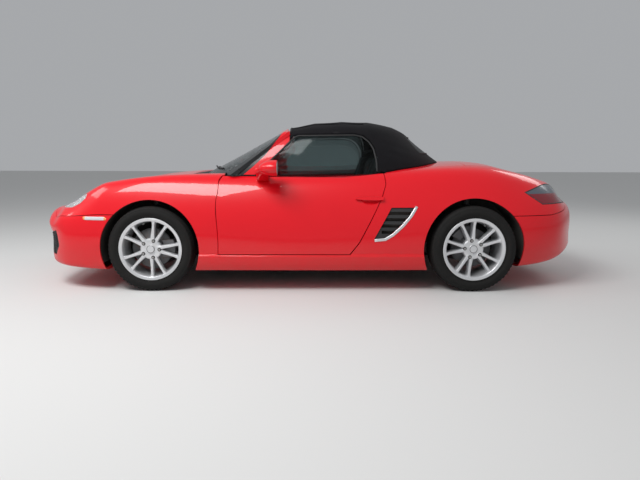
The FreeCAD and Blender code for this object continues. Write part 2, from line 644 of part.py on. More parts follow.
grip_bar = common("grip_bar", grip_band, side_prism(
    "grip_side_view", [("size.grip_x - 104", "size.grip_z - 4"),
                       ("size.grip_x - 60", "size.grip_z - 11"),
                       ("size.grip_x + 60", "size.grip_z - 14"),
                       ("size.grip_x + 104", "size.grip_z - 10"),
                       ("size.grip_x + 104", "size.grip_z + 12"),
                       ("size.grip_x - 60", "size.grip_z + 11"),
                       ("size.grip_x - 104", "size.grip_z + 4")], -BESIDE, -700))
door = join("door", cut("door_leaf", door_block, *door_cuts), grip_bar, grip_end, grip_start)

mirror_shell = bind(doc.addObject("Part::Ellipsoid", "mirror_shell"), {
    "Placement.Base.x": f"{X_FRONT} + 930", "Placement.Base.y": "-size.half_width + 8",
    "Placement.Base.z": 922, "Radius1": 58, "Radius2": 110, "Radius3": 95})
foot_view = [(-722, 834), (-756, 824), (-850, 884), (-850, 918), (-800, 918), (-722, 862)]
foot_points = [vec(f"{X_FRONT} + 792", y, z) for y, z in foot_view]
mirror_foot = solid("mirror_foot", Part.Face(Part.makePolygon(
    foot_points + foot_points[:1])).extrude(FreeCAD.Vector(90, 0, 0)))
mirror_face = box("mirror_face", (f"{X_FRONT} + 952", f"{X_FRONT} + 1100"), (-BESIDE, -700),
                  (780, 1050))
wing_mirror = cut("wing_mirror", join("mirror_blank", mirror_shell, mirror_foot), mirror_face,
                  door_block)

door_over = common("door_over", body_solid("hull_over", -6), door_gap)
door_swing = common("door_swing", rod("door_sweep", (pin_x, f"-{pin_y}", 700), (0, 0, 1), 168,
                                      "size.door_swing"),
                    box("door_sweep_side", (f"{pin_x} - 300", f"{pin_x} + 300"),
                        (-BESIDE, "-size.door_inner + 12"), (700, 900)))
door_overs = [door_over, mirror("door_over_twin", door_over),
              door_swing, mirror("door_swing_twin", door_swing)]

# Structure

front_bulkhead = f"({X_FRONT} + 390)"
rear_bulkhead = f"({X_FRONT} + 1845)"
inner_half = "size.cabin_half"
wheel_room = [rod(f"{end}_liner_out", (axle, f"-{BESIDE}", f"size.{end}_tyre_radius"), (0, 1, 0),
                  f"{BESIDE} - size.{end}_well_inner + size.liner",
                  f"size.{end}_arch_radius + size.liner")
              for end, axle in (("front", X_FRONT), ("rear", X_REAR))]
liners = []
for end, axle, arch, room in (("front", X_FRONT, front_arch, wheel_room[0]),
                              ("rear", X_REAR, rear_arch, wheel_room[1])):
    low = 215 if end == "front" else 240
    shell = cut(f"{end}_liner_blank", common(f"{end}_liner_room", room, hull_room), arch,
                box(f"{end}_liner_foot", (f"{axle} - 500", f"{axle} + 500"), (-BESIDE, 0),
                    (0, low)),
                box(f"{end}_liner_sill", (f"{axle} + {0 if end == 'front' else -500}",
                                          f"{axle} + {500 if end == 'front' else 0}"),
                    (-BESIDE, 0), (0, "size.sill_step + 1")),
                box(f"{end}_liner_door", (f"{axle} - 200", f"{axle} + 200"),
                    (f"-size.{end}_well_inner - 20", 0), (0, 330)))
    liners.append(shell)
front_liner, rear_liner = liners

pads = [rod(f"pad_{at}", (f"{X_FRONT} + size.{at}", "-size.pad_half", "size.pad_bottom"),
            (0, 0, 1), 40, 30) for at in ("pad_front", "pad_rear")]
sill_skin = cut("sill_skin", common("sill_blank", hull, box(
    "sill_room", (f"{X_FRONT} + 200", f"{X_REAR} - 200"), (-BESIDE, f"-{inner_half}"),
    (0, "size.sill_top"))), front_arch, rear_arch)
side_frame = join("side_frame", sill_skin, box(
    "sill_inner", (front_bulkhead, f"{rear_bulkhead} + size.floor"),
    ("-size.frame_outer", f"-{inner_half}"), ("size.floor_bottom + 20", "size.sill_step")), box(
    "hinge_pillar", (front_bulkhead, f"{front_bulkhead} + 170"),
    ("-size.frame_outer", f"-{inner_half}"), ("size.sill_step - 5", "size.pillar_top")), box(
    "lock_pillar", (f"{rear_bulkhead} - 50", f"{rear_bulkhead} + size.floor"),
    ("-size.frame_outer", f"-{inner_half}"), ("size.sill_step - 5", "size.pillar_top")),
    *frame_hinges, *pads)
side_frame = common("side_frame_trim", side_frame, join("frame_room", hull_room, box(
    "frame_low", (-3000, 3000), (-BESIDE, 0), (0, "size.sill_top"))))

floor_top = "size.floor_bottom + size.floor"
cabin_tub = join("cabin_tub", box(
    "floor_plate", (front_bulkhead, f"{rear_bulkhead} + size.floor"),
    (f"-{inner_half}", inner_half), ("size.floor_bottom", floor_top)), box(
    "tunnel", (front_bulkhead, rear_bulkhead), (-105, 105), (floor_top, 380)), box(
    "fire_wall", (front_bulkhead, f"{front_bulkhead} + size.floor"),
    (f"-{inner_half}", inner_half), ("size.floor_bottom", "size.pillar_top - 46")), box(
    "seat_wall", (rear_bulkhead, f"{rear_bulkhead} + size.floor"),
    (f"-{inner_half}", inner_half), ("size.floor_bottom", 800)), box(
    "shelf", (rear_bulkhead, f"{X_REAR} - 35"), (-580, 580), (780, 800)),
    common("cover_posts", hull_room, join("cover_post_pair", *[box(
        f"cover_post_{side + 1}", (f"{rear_bulkhead} + 330", f"{rear_bulkhead} + 390"),
        (side * 540 - 30, side * 540 + 30), (795, 1000)) for side in (-1, 1)])), box(
    "engine_mount", (f"{rear_bulkhead} + size.floor", f"{rear_bulkhead} + 65"), (-60, 60),
    (340, 420)))

TUB = 12
front_tub = common("front_tub", cut("front_tub_box", box(
    "front_tub_out", (f"{X_FRONT} - 700", front_bulkhead),
    ("-size.front_well_inner + size.liner", "size.front_well_inner - size.liner"), (240, 900)),
    box("front_tub_in", (f"{X_FRONT} - 700 + {TUB}", f"{X_FRONT} + 150"),
        (f"-size.front_well_inner + size.liner + {TUB}",
         f"size.front_well_inner - size.liner - {TUB}"), (240 + TUB, 1000)),
    box("front_tub_rear", (f"{X_FRONT} + 150 + {TUB}", f"{X_FRONT} + 1000"),
        (f"-size.front_well_inner + size.liner + {TUB}",
         f"size.front_well_inner - size.liner - {TUB}"), (240 + TUB, 780)),
    box("front_tub_hinge", (f"{X_FRONT} + 150 + {TUB}", f"{X_FRONT} + 1000"), (-BESIDE, BESIDE),
        (780 + TUB, 1000))), hull_low)
rear_tub = common("rear_tub", join("rear_tub_blank", cut("rear_tub_box", box(
    "rear_tub_out", (f"{X_REAR} + 290", f"{X_REAR} + 850"),
    ("-size.rear_well_inner + size.liner", "size.rear_well_inner - size.liner"), (441, 900)),
    box("rear_tub_in", (f"{X_REAR} + 290 + {TUB}", f"{X_REAR} + 850 - {TUB}"),
        (f"-size.rear_well_inner + size.liner + {TUB}",
         f"size.rear_well_inner - size.liner - {TUB}"), (441 + TUB, 1000)),
    box("rear_tub_lip", (f"{X_REAR} + 200", f"{X_REAR} + 320"), (-BESIDE, BESIDE),
        (680 + TUB, 1000))), box(
    "rear_shelf", (f"{X_REAR} - 35", f"{X_REAR} + 302"),
    ("-size.rear_well_inner + size.liner", "size.rear_well_inner - size.liner"),
    (680, 680 + TUB)), box(
    "rear_step", (f"{X_REAR} - 35", f"{X_REAR} - 35 + {TUB}"), (-580, 580), (680, 900))),
    hull_low)

# Lids on their hinges

LUG_Y = 400


def hinged_lid(name, skin, pivot, foot, sign):
    """A lid with two lugs below its skin, and the two brackets that carry its pins."""
    px, pz = pivot
    lugs, bores, brackets = [], [], []
    for side in (-1, 1):
        near, far = sorted((side * LUG_Y, side * (LUG_Y + 25)))
        reach = sorted((-14 * sign, 60 * sign))
        lugs.append(common(f"{name}_lug_{side + 1}", hull_half, box(
            f"{name}_lug_block_{side + 1}", (f"{px} + ({reach[0]})", f"{px} + ({reach[1]})"),
            (near, far), (f"{pz} - 14", ABOVE))))
        bores.append(rod(f"{name}_bore_{side + 1}", (px, near - 5, pz), (0, 1, 0), 35,
                         "size.hinge_pin + size.pin_play"))
        post_near, post_far = sorted((side * (LUG_Y - 30), side * (LUG_Y - 6)))
        brackets.append(box(f"{name}_post_{side + 1}", (f"{px} - size.post_half",
                                                        f"{px} + size.post_half"),
                            (post_near, post_far), (foot, pz)))
        pin_near = min(side * (LUG_Y - 20), side * (LUG_Y + 22))
        brackets.append(rod(f"{name}_pin_{side + 1}", (px, pin_near, pz), (0, 1, 0), 42,
                            "size.hinge_pin"))
    return cut(name, join(f"{name}_blank", skin, *lugs), *bores), brackets


bonnet, bonnet_posts = hinged_lid("bonnet", bonnet_skin, (bonnet_x, bonnet_z), 780, -1)
rear_lid, lid_posts = hinged_lid("rear_lid", lid_skin, (lid_x, lid_z), 680, 1)
front_tub = join("front_luggage", cut("front_tub_lamps", front_tub, headlamp_hole, headlamp_twin),
                 *bonnet_posts)
rear_tub = join("rear_luggage", rear_tub, *lid_posts)

# Windscreen frame, roof and panes

pillars = [common(f"pillar_{side + 1}", roof_shell, side_prism(
    f"pillar_band_{side + 1}", [(f"{X_FRONT} + {x}", z) for x, z in PILLAR], side * 300,
    side * BESIDE)) for side in (-1, 1)]
screen_frame = cut("screen_frame", join("screen_pillars", screen_blank, *pillars), screen_hole,
                   hull_sides, *door_overs)
screen = solid("screen", screen_face(.0906, .8894, .0556, .9444, 4).extrude(
    SCREEN_IN * num("size.glass")))
cowl = cut("cowl", side_prism("cowl_blank", [(f"{X_FRONT} + {x}", z) for x, z in (
    (292, 872), (330, 858), (585, 846), (585, 829), (390, 829), (390, 792), (292, 792))],
    -598, 598), screen_blank)
soft_top = cut("soft_top", common("roof_part", roof_shell, box(
    "roof_keep", (roof_x, 3000), (-BESIDE, BESIDE), (0, ABOVE))), *roof_holes, back_hole, hull,
    screen_blank, *door_overs)
hoops = []
for side in (-1, 1):
    bars = [box(f"hoop_{part}_{side + 1}", (f"{rear_bulkhead} + 2", f"{rear_bulkhead} + 23"),
                sorted((side * near, side * far)), (800, top))
            for part, near, far, top in (("out", 210, 510, 1065), ("in", 236, 484, 1039))]
    hoops.append(cut(f"hoop_{side + 1}", *bars))
roll_hoops = join("roll_hoops_shape", *hoops)
back_pane = common("back_pane", pane_shell, back_hole)

# Cabin

dashboard = side_prism("dashboard", [(f"{front_bulkhead} + {x}", z) for x, z in (
    (25, 826), (300, 826), (380, 790), (405, 740), (380, 690), (270, 640), (25, 620))],
    -590, 590)
console = side_prism("console", [(f"{front_bulkhead} + {x}", z) for x, z in (
    (280, 640), (400, 660), (520, 520), (1100, 500), (1300, 470), (1300, 380), (280, 380))],
    -95, 95)


def seat(name, side):
    low, high = sorted((side * 130, side * 590))
    mid = side * 360
    base = side_prism(f"{name}_base", [(f"{front_bulkhead} + {x}", z) for x, z in (
        (560, 175), (1230, 175), (1230, 330), (1100, 330), (560, 400))], low, high)
    back = side_prism(f"{name}_back", [(f"{front_bulkhead} + {x}", z) for x, z in (
        (1060, 310), (1240, 310), (1410, 960), (1390, 1010), (1310, 1010), (1280, 960))],
        mid - 190, mid + 190)
    dish = side_prism(f"{name}_dish", [(f"{front_bulkhead} + {x}", z) for x, z in (
        (540, 372), (1090, 300), (1270, 900), (1240, 1100), (540, 1100))],
        mid - 140, mid + 140)
    return cut(name, join(f"{name}_blank", base, back), dish)


seats = join("seat_pair", *[seat(f"seat_{label}", side)
                            for label, side in (("left", -1), ("right", 1))])
engine = box("engine", (f"{rear_bulkhead} + 65", f"{rear_bulkhead} + 65 + size.engine_length"),
             ("-size.engine_width / 2", "size.engine_width / 2"), (205, "205 + size.engine_height"))

# Steering wheel

wheel_way = FreeCAD.Vector(math.cos(math.radians(24)), 0, math.sin(math.radians(24)))
wheel_hub = FreeCAD.Vector(num(front_bulkhead) + 480, -360, 790)
ring = Part.makeTorus(178, 15, wheel_hub, wheel_way)
boss = Part.makeCylinder(62, 50, wheel_hub - wheel_way * 35, wheel_way)
column_bore = Part.makeCylinder(14.3, 22, wheel_hub - wheel_way * 37, wheel_way)
spokes = []
across = FreeCAD.Vector(0, 1, 0)
upward = wheel_way.cross(across)
for angle in (0, 180, 270):
    out = across * math.cos(math.radians(angle)) - upward * math.sin(math.radians(angle))
    bar = Part.makeBox(180, 30, 14)
    bar.translate(FreeCAD.Vector(0, -15, -7))
    basis = FreeCAD.Matrix(out.x, wheel_way.cross(out).x, wheel_way.x, 0,
                           out.y, wheel_way.cross(out).y, wheel_way.y, 0,
                           out.z, wheel_way.cross(out).z, wheel_way.z, 0, 0, 0, 0, 1)
    bar = bar.transformGeometry(basis)
    bar.translate(wheel_hub)
    spokes.append(bar)
steering_wheel = solid("steering_wheel_shape", ring.fuse([boss] + spokes).cut(column_bore))
column = solid("column", Part.makeCylinder(14, 260, wheel_hub - wheel_way * 276, wheel_way))
dash_full = join("dash_full", dashboard, column)

# Wheels

def ring_solid(profile, centre):
    """Ring about the Y axis from points of radius and place along the axis."""
    points = [FreeCAD.Vector(radius, y, 0) for radius, y in profile]
    turned = Part.Face(Part.makePolygon(points + points[:1])).revolve(
        FreeCAD.Vector(), FreeCAD.Vector(0, 1, 0), 360)
    turned.translate(centre)
    return turned


# end, axle, flange half width, tyre half width, tread half width, bolting face, face of the
# hub, angle of the first pair of spokes
WHEELS = [
    ("front", X_FRONT, 94, 102.5, 80, "size.front_rim_offset", 80, 68.6),
    ("rear", X_REAR, 114, 117.5, 97, "size.rear_rim_offset", 84, 32.0),
]
SPIN = 20
wheels = []
for end, axle, flange, bulge, tread, face, hub_face, first in WHEELS:
    radius = num(f"size.{end}_tyre_radius")
    bead = num("size.rim_radius")
    bolted = num(face)
    centre = FreeCAD.Vector(num(axle), -num(f"size.{end}_track") / 2, radius)
    disc = num("size.disc_radius")
    out = -1
    rim = ring_solid([(bead + 19.8, -flange), (bead + 19.8, -flange + 8), (bead, -flange + 11),
                      (bead, flange - 11), (bead + 19.8, flange - 8), (bead + 19.8, flange),
                      (bead - 10, flange), (bead - 10, -flange + 40), (bead + 4, -flange)],
                     centre)
    hub = ring_solid([(SPIN + 0.3, -bolted), (SPIN + 0.3, -bolted - 6), (0, -bolted - 6),
                      (0, -hub_face - 4), (30, -hub_face - 4), (34, -hub_face), (72, -hub_face),
                      (78, -bolted), (78, -bolted + 32), (disc, -bolted + 32),
                      (disc, -bolted + 56), (90, -bolted + 56), (90, -bolted + 38),
                      (SPIN + 0.3, -bolted + 38)], centre)
    bars = []
    for pair_index in range(5):
        for side in (-1, 1):
            angle = math.radians(first + 72 * pair_index)
            lean = math.radians(13) * side
            wires = []
            for reach, swing, half, front_y, back_y in (
                    (58, side * 17 / 58, 12, -hub_face, -bolted - 2),
                    (bead - 5, lean, 7, -flange + 12, -flange + 40)):
                a = angle + swing
                along = FreeCAD.Vector(math.cos(a), 0, math.sin(a))
                cross = FreeCAD.Vector(-math.sin(a), 0, math.cos(a))
                corners = [along * reach + cross * w + FreeCAD.Vector(0, y, 0)
                           for w, y in ((-half, back_y), (half, back_y), (half * .7, front_y),
                                        (-half * .7, front_y))]
                wires.append(Part.makePolygon(corners + corners[:1]))
            bar = Part.makeLoft(wires, True, True)
            bar.translate(centre)
            bars.append(bar)
    wheel = solid(f"{end}_wheel", rim.fuse([hub] + bars))
    tyre = solid(f"{end}_tyre", ring_solid(
        [(bead + 0.3, flange - 12), (bead + 20.3, flange - 8), (bead + 56, bulge),
         (radius - 16, bulge - 6), (radius, tread), (radius, -tread), (radius - 16, 6 - bulge),
         (bead + 56, -bulge), (bead + 20.3, 8 - flange), (bead + 0.3, 12 - flange)], centre))
    wheels.append((end, wheel, tyre))

# Knuckles and suspension


def tube(name, start, finish, radius):
    """Round bar between two points of rules."""
    low, high = vec(*start), vec(*finish)
    return solid(name, Part.makeCylinder(num(radius), (high - low).Length, low, high - low))


front_plane = "(size.front_track / 2)"
rear_plane = "(size.rear_track / 2)"
KING_LOW = (X_FRONT, f"-{front_plane} + 47", "190")
KING_HIGH = (X_FRONT, f"-{front_plane} + 177", "770")


def king(level):
    """Point of the steering axis at a height."""
    return (X_FRONT, f"-{front_plane} + 47 + ({level} - 190) * 130 / 580", level)


front_face = f"({front_plane} + size.front_rim_offset)"
rear_face = f"({rear_plane} + size.rear_rim_offset)"


def caliper(name, axle, face, level, angle):
    """Brake caliper over the edge of a disc."""
    ring_out = Part.makeCylinder(num("size.disc_radius") + 24, 76,
                                 vec(axle, f"-{face} + 9", level), FreeCAD.Vector(0, 1, 0))
    hole = Part.makeCylinder(num("size.disc_radius") - 52, 90,
                             vec(axle, f"-{face} + 4", level), FreeCAD.Vector(0, 1, 0))
    slot = Part.makeCylinder(num("size.disc_radius") + 5, 34,
                             vec(axle, f"-{face} + 27", level), FreeCAD.Vector(0, 1, 0))
    block = Part.makeBox(120, 200, 130, vec(f"{axle} + 78", f"-{face} - 20", f"{level} - 65"))
    block.rotate(vec(axle, 0, level), FreeCAD.Vector(0, 1, 0), angle)
    return solid(name, ring_out.cut([hole, slot]).common(block))


knuckle = join("knuckle", rod(
    "front_carrier", (X_FRONT, f"-{front_face} + 61", "size.front_tyre_radius"), (0, 1, 0), 70,
    52), rod(
    "front_spindle", (X_FRONT, f"-{front_face} + 1", "size.front_tyre_radius"), (0, 1, 0), 80,
    SPIN), box(
    "knuckle_upper", (f"{X_FRONT} - 28", f"{X_FRONT} + 28"), (f"-{front_face} + 95",
                                                              f"-{front_face} + 205"),
    (330, 450)), box(
    "knuckle_lower", (f"{X_FRONT} - 22", f"{X_FRONT} + 22"), (f"-{front_face} + 84",
                                                              f"-{front_face} + 120"),
    (186, 300)), box(
    "steering_arm", (f"{X_FRONT} - 160", X_FRONT), (f"-{front_face} + 100",
                                                     f"-{front_face} + 122"), (240, 262)),
    tube("strut_tube", (X_FRONT, f"-{front_plane} + 137", 380), king(668), 20),
    tube("spring", king(660), king(748), 44),
    tube("ball_stud", king(172), king(200), 9), box(
    "caliper_bridge", (f"{X_FRONT} + 30", f"{X_FRONT} + 130"), (f"-{front_face} + 66",
                                                               f"-{front_face} + 84"),
    ("size.front_tyre_radius - 25", "size.front_tyre_radius + 25")),
    caliper("front_caliper", X_FRONT, front_face, "size.front_tyre_radius", 0))

tower = tube("tower", king(672), king(764), 62)
front_liner = join("front_liner", cut("front_liner_hole", front_liner, tower),
                   cut("tower_cup", tower, tube("tower_room", king(660), king(755), 54)))

front_arms = []
ball_y = f"({front_plane} - 47 + 4)"
ball_bore = tube("ball_bore", king(171.7), king(240), 9.3)
for side in (-1, 1):
    for step in (-150, 150):
        front_arms.append(tube(f"front_arm_{side + 1}_{step + 150}",
                               (X_FRONT, f"{side} * {ball_y}", 166),
                               (f"{X_FRONT} + {step}", side * 330, 200), 13))
    front_arms.append(rod(f"front_joint_{side + 1}", (X_FRONT, f"{side} * {ball_y}", 152),
                          (0, 0, 1), 30, 24))
front_suspension = cut("front_suspension", join("front_suspension_blank", *front_arms, box(
    "front_beam", (f"{X_FRONT} - 175", f"{X_FRONT} + 175"), (-345, 345), (170, 240))),
    ball_bore, mirror("ball_bore_twin", ball_bore))

rear_bits = []
for side in (-1, 1):
    for step in (-170, 170):
        rear_bits.append(tube(f"rear_arm_{side + 1}_{step + 170}",
                              (X_REAR, f"{side} * ({rear_plane} - 150)", 205),
                              (f"{X_REAR} + {step}", side * 300, 186), 14))
    rear_bits.append(tube(f"rear_carrier_{side + 1}",
                          (X_REAR, f"{side} * ({rear_face} - 61)", "size.rear_tyre_radius"),
                          (X_REAR, f"{side} * ({rear_plane} - 150)", "size.rear_tyre_radius"),
                          48))
    rear_bits.append(tube(f"rear_spindle_{side + 1}",
                          (X_REAR, f"{side} * ({rear_face} - 1)", "size.rear_tyre_radius"),
                          (X_REAR, f"{side} * ({rear_face} - 80)", "size.rear_tyre_radius"),
                          SPIN))
    rear_bits.append(tube(f"rear_strut_{side + 1}",
                          (X_REAR, f"{side} * ({rear_plane} - 150)", 190),
                          (X_REAR, f"{side} * ({rear_plane} - 150)",
                           "size.rear_tyre_radius + size.rear_arch_radius - 1"), 20))
rear_suspension = join("rear_suspension", *rear_bits, box(
    "rear_beam", (f"{X_REAR} - 190", f"{X_REAR} + 190"), (-320, 320), (160, 204)))

silencer = join("silencer", rod("silencer_can", (f"{X_REAR} + 640", -380, 345.7), (0, 1, 0), 760,
                                95), *[rod(
    f"tail_pipe_{side + 1}", (f"{X_REAR} + 700", side * 44, 305), (1, 0, 0), 268, 38)
    for side in (-1, 1)])

# Nodes

for label, item in (
        ("cabin_tub", cabin_tub), ("front_luggage_tub", front_tub), ("rear_luggage_tub", rear_tub),
        ("front_bumper", nose_skin), ("rear_bumper", tail_skin), ("roof_cover", cover_skin),
        ("bonnet", bonnet), ("rear_lid", rear_lid), ("windscreen_frame", screen_frame),
        ("windscreen", screen), ("cowl", cowl), ("soft_top", soft_top),
        ("rear_window", back_pane), ("dash", dash_full), ("console", console),
        ("seats", seats), ("steering_wheel", steering_wheel), ("engine_block", engine),
        ("exhaust", silencer), ("roll_hoops", roll_hoops), ("bumper_grille", bumper_grille),
        ("front_suspension", front_suspension), ("rear_suspension", rear_suspension)):
    node(item, label)
for label, items in (("headlamps", [headlamp]), ("tail_lamps", [tail_lamp]),
                     ("side_vents", [side_vent]), ("wheel_liners", [front_liner, rear_liner])):
    twins = [mirror(f"{label}_twin_{index}", item) for index, item in enumerate(items)]
    node(join(f"{label}_set", *items, *twins), label)
for label, item in (("fender", fender), ("quarter", quarter), ("side_frame", side_frame),
                    ("door", door), ("door_glass", pane), ("mirror", wing_mirror),
                    ("knuckle", knuckle)):
    pair(item, label)
for end, wheel, tyre in wheels:
    pair(wheel, f"{end}_wheel")
    pair(tyre, f"{end}_tyre")

doc.recompute()
for item in doc.Objects:
    if "Invalid" in item.State or "Error" in item.State:
        raise RuntimeError(f"{item.Name} is not made: {item.State}")
for item in NODES:
    if item.Shape.isNull() or not item.Shape.isValid():
        raise RuntimeError(f"{item.Label} is not valid")

os.makedirs("parts", exist_ok=True)
for item in NODES:
    print(item.Label, len(item.Shape.Solids), round(item.Shape.Volume / 1e6, 2))
    item.Shape.exportStep(f"parts/{item.Label}.step")
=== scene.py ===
import json
import math
import bmesh
import bpy
from mathutils import Matrix, Vector
from mathutils.bvhtree import BVHTree


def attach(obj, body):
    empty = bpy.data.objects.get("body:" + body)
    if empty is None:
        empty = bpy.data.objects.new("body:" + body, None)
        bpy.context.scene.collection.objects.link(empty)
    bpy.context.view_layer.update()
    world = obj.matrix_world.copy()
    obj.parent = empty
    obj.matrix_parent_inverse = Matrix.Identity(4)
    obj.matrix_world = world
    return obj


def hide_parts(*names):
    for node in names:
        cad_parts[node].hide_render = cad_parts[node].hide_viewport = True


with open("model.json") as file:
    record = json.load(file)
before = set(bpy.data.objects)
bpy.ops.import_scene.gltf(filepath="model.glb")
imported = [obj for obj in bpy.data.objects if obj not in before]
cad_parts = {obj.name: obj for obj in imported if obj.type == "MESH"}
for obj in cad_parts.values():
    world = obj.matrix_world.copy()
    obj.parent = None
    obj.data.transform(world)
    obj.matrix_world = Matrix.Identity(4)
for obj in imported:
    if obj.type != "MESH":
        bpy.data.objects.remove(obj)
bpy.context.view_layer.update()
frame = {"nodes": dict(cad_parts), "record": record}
nodes = frame["nodes"]


# Shader maths


class Link:
    """A shader socket or a plain number, with the usual operators."""

    tree = None

    def __init__(self, value):
        self.value = value

    @staticmethod
    def add(kind, settings=None, **inputs):
        """Adds a node. Inputs are given by socket name with spaces as underscores, or i0, i1."""
        made = Link.tree.nodes.new(kind)
        for name, value in (settings or {}).items():
            setattr(made, name, value)
        for name, value in inputs.items():
            key = int(name[1:]) if name[0] == "i" and name[1:].isdigit() else name.replace("_", " ")
            socket = made.inputs[key]
            value = value.value if isinstance(value, Link) else value
            if isinstance(value, bpy.types.NodeSocket):
                Link.tree.links.new(value, socket)
            else:
                socket.default_value = value
        return made

    def _maths(self, operation, *others, turned=False):
        values = [self, *(o if isinstance(o, Link) else Link(o) for o in others)]
        if turned:
            values.reverse()
        if all(isinstance(v.value, (int, float)) for v in values):
            raise ValueError("plain numbers are worked out in Python")
        made = Link.add("ShaderNodeMath", {"operation": operation},
                        **{f"i{k}": v for k, v in enumerate(values)})
        return Link(made.outputs[0])

    def __add__(self, other): return self._maths("ADD", other)
    __radd__ = __add__
    def __sub__(self, other): return self._maths("SUBTRACT", other)
    def __rsub__(self, other): return self._maths("SUBTRACT", other, turned=True)
    def __mul__(self, other): return self._maths("MULTIPLY", other)
    __rmul__ = __mul__
    def __abs__(self): return self._maths("ABSOLUTE")
    def sin(self): return self._maths("SINE")


def smooth(value, low, high):
    """0 below low, 1 above high, smooth between."""
    made = Link.add("ShaderNodeMapRange", {"interpolation_type": "SMOOTHSTEP"}, Value=value,
                    From_Min=low, From_Max=high)
    return Link(made.outputs[0])


def coords():
    return Link(Link.add("ShaderNodeTexCoord").outputs["Object"])


def place():
    """The object's own x, y and z."""
    parts = Link.add("ShaderNodeSeparateXYZ", None, i0=coords())
    return [Link(parts.outputs[k]) for k in range(3)]


def noise(scale, detail=2.0, rough=0.5, stretch=(1, 1, 1)):
    mapped = Link.add("ShaderNodeMapping", None, Vector=coords(), Scale=stretch)
    made = Link.add("ShaderNodeTexNoise", None, Vector=Link(mapped.outputs[0]), Scale=scale,
                    Detail=detail, Roughness=rough)
    return Link(made.outputs[0])


def blend_colour(mask, low, high):
    made = Link.add("ShaderNodeMix", {"data_type": "RGBA"}, i0=mask, i6=low, i7=high)
    return Link(made.outputs[2])


def bump(height, strength, distance):
    made = Link.add("ShaderNodeBump", None, Height=height, Strength=strength, Distance=distance)
    return Link(made.outputs[0])


def finish(name, recipe):
    """Material whose recipe returns the values of the main shader's sockets."""
    made = bpy.data.materials.new(name)
    made.use_nodes = True
    Link.tree = made.node_tree
    shader = made.node_tree.nodes["Principled BSDF"]
    for socket, value in recipe().items():
        value = value.value if isinstance(value, Link) else value
        if isinstance(value, bpy.types.NodeSocket):
            made.node_tree.links.new(value, shader.inputs[socket])
        else:
            if socket.endswith("Color") and len(value) == 3:
                value = (*value, 1)
            shader.inputs[socket].default_value = value
    return made


# Finishes


def red_paint():
    z = place()[2]
    peel = noise(900, 2)
    dust = smooth(z, 0.42, 0.16) * noise(14, 5, 0.65)
    colour = blend_colour(dust * 0.3, (0.74, 0.004, 0.012, 1), (0.40, 0.10, 0.08, 1))
    return {"Base Color": colour, "Roughness": 0.30 + dust * 0.3, "Specular IOR Level": 0.2,
            "Coat Weight": 0.65, "Coat Roughness": 0.03, "Normal": bump(peel, 0.02, 0.0004)}


def woven_roof():
    x, y, z = place()
    weave = ((x * 5200).sin() * (y * 5200).sin() + (z * 5200).sin()) * 0.5
    tone = noise(9, 5, 0.6)
    colour = blend_colour(tone, (0.004, 0.004, 0.005, 1), (0.011, 0.010, 0.012, 1))
    return {"Base Color": colour, "Roughness": 0.88 + tone * 0.1, "Sheen Weight": 0.03,
            "Specular IOR Level": 0.15, "Normal": bump(weave, 0.25, 0.0006)}


def tinted_glass():
    film = noise(4, 3)
    return {"Base Color": (0.20, 0.27, 0.27), "Roughness": 0.02 + film * 0.03,
            "Transmission Weight": 1.0, "IOR": 1.12, "Coat Weight": 0.2, "Coat Roughness": 0.05,
            "Alpha": 0.72}


def black_plastic():
    grain = noise(1400, 3, 0.6)
    tone = noise(12, 4)
    return {"Base Color": blend_colour(tone, (0.014, 0.014, 0.015, 1), (0.028, 0.028, 0.029, 1)),
            "Roughness": 0.55 + grain * 0.2, "Normal": bump(grain, 0.25, 0.0005)}


def road_grime():
    patches = noise(9, 6, 0.65)
    grit = noise(260, 4, 0.7)
    return {"Base Color": blend_colour(patches, (0.012, 0.012, 0.012, 1), (0.060, 0.053, 0.045, 1)),
            "Roughness": 0.75 + patches * 0.2, "Normal": bump(grit, 0.35, 0.002)}


def black_leather():
    cells = Link(Link.add("ShaderNodeTexVoronoi", {"feature": "DISTANCE_TO_EDGE"},
                          Vector=coords(), Scale=420.0).outputs[0])
    tone = noise(7, 4)
    return {"Base Color": blend_colour(tone, (0.018, 0.018, 0.020, 1), (0.040, 0.039, 0.040, 1)),
            "Roughness": 0.42 + tone * 0.16, "Normal": bump(cells, 0.3, 0.0008)}


def alloy_silver():
    flake = noise(2600, 2)
    dust = noise(24, 5, 0.7)
    return {"Base Color": blend_colour(dust * 0.3, (0.80, 0.81, 0.83, 1), (0.46, 0.44, 0.42, 1)),
            "Metallic": 0.65, "Roughness": 0.26 + dust * 0.18, "Coat Weight": 0.6,
            "Coat Roughness": 0.08, "Normal": bump(flake, 0.04, 0.0003)}


def tyre_rubber():
    dust = noise(30, 6, 0.7)
    fine = noise(700, 3)
    return {"Base Color": blend_colour(dust, (0.005, 0.005, 0.005, 1), (0.020, 0.019, 0.018, 1)),
            "Roughness": 0.72 + dust * 0.2, "Specular IOR Level": 0.25,
            "Normal": bump(fine, 0.2, 0.0006)}


def cast_metal():
    lumps = noise(180, 4, 0.6)
    rust = smooth(noise(22, 6, 0.7), 0.5, 0.75)
    return {"Base Color": blend_colour(rust, (0.16, 0.16, 0.165, 1), (0.13, 0.075, 0.045, 1)),
            "Metallic": 0.6 - rust * 0.5, "Roughness": 0.5 + lumps * 0.3,
            "Normal": bump(lumps, 0.3, 0.001)}


def steel_tube():
    streaks = noise(60, 4, 0.6, (1, 12, 1))
    return {"Base Color": blend_colour(streaks, (0.36, 0.35, 0.34, 1), (0.56, 0.55, 0.54, 1)),
            "Metallic": 1.0, "Roughness": 0.25 + streaks * 0.2}


def clear_lens():
    film = noise(5, 3)
    return {"Base Color": (0.90, 0.91, 0.92), "Roughness": 0.04 + film * 0.02,
            "Transmission Weight": 0.6, "IOR": 1.2, "Alpha": 0.62, "Coat Weight": 1.0,
            "Coat Roughness": 0.03}


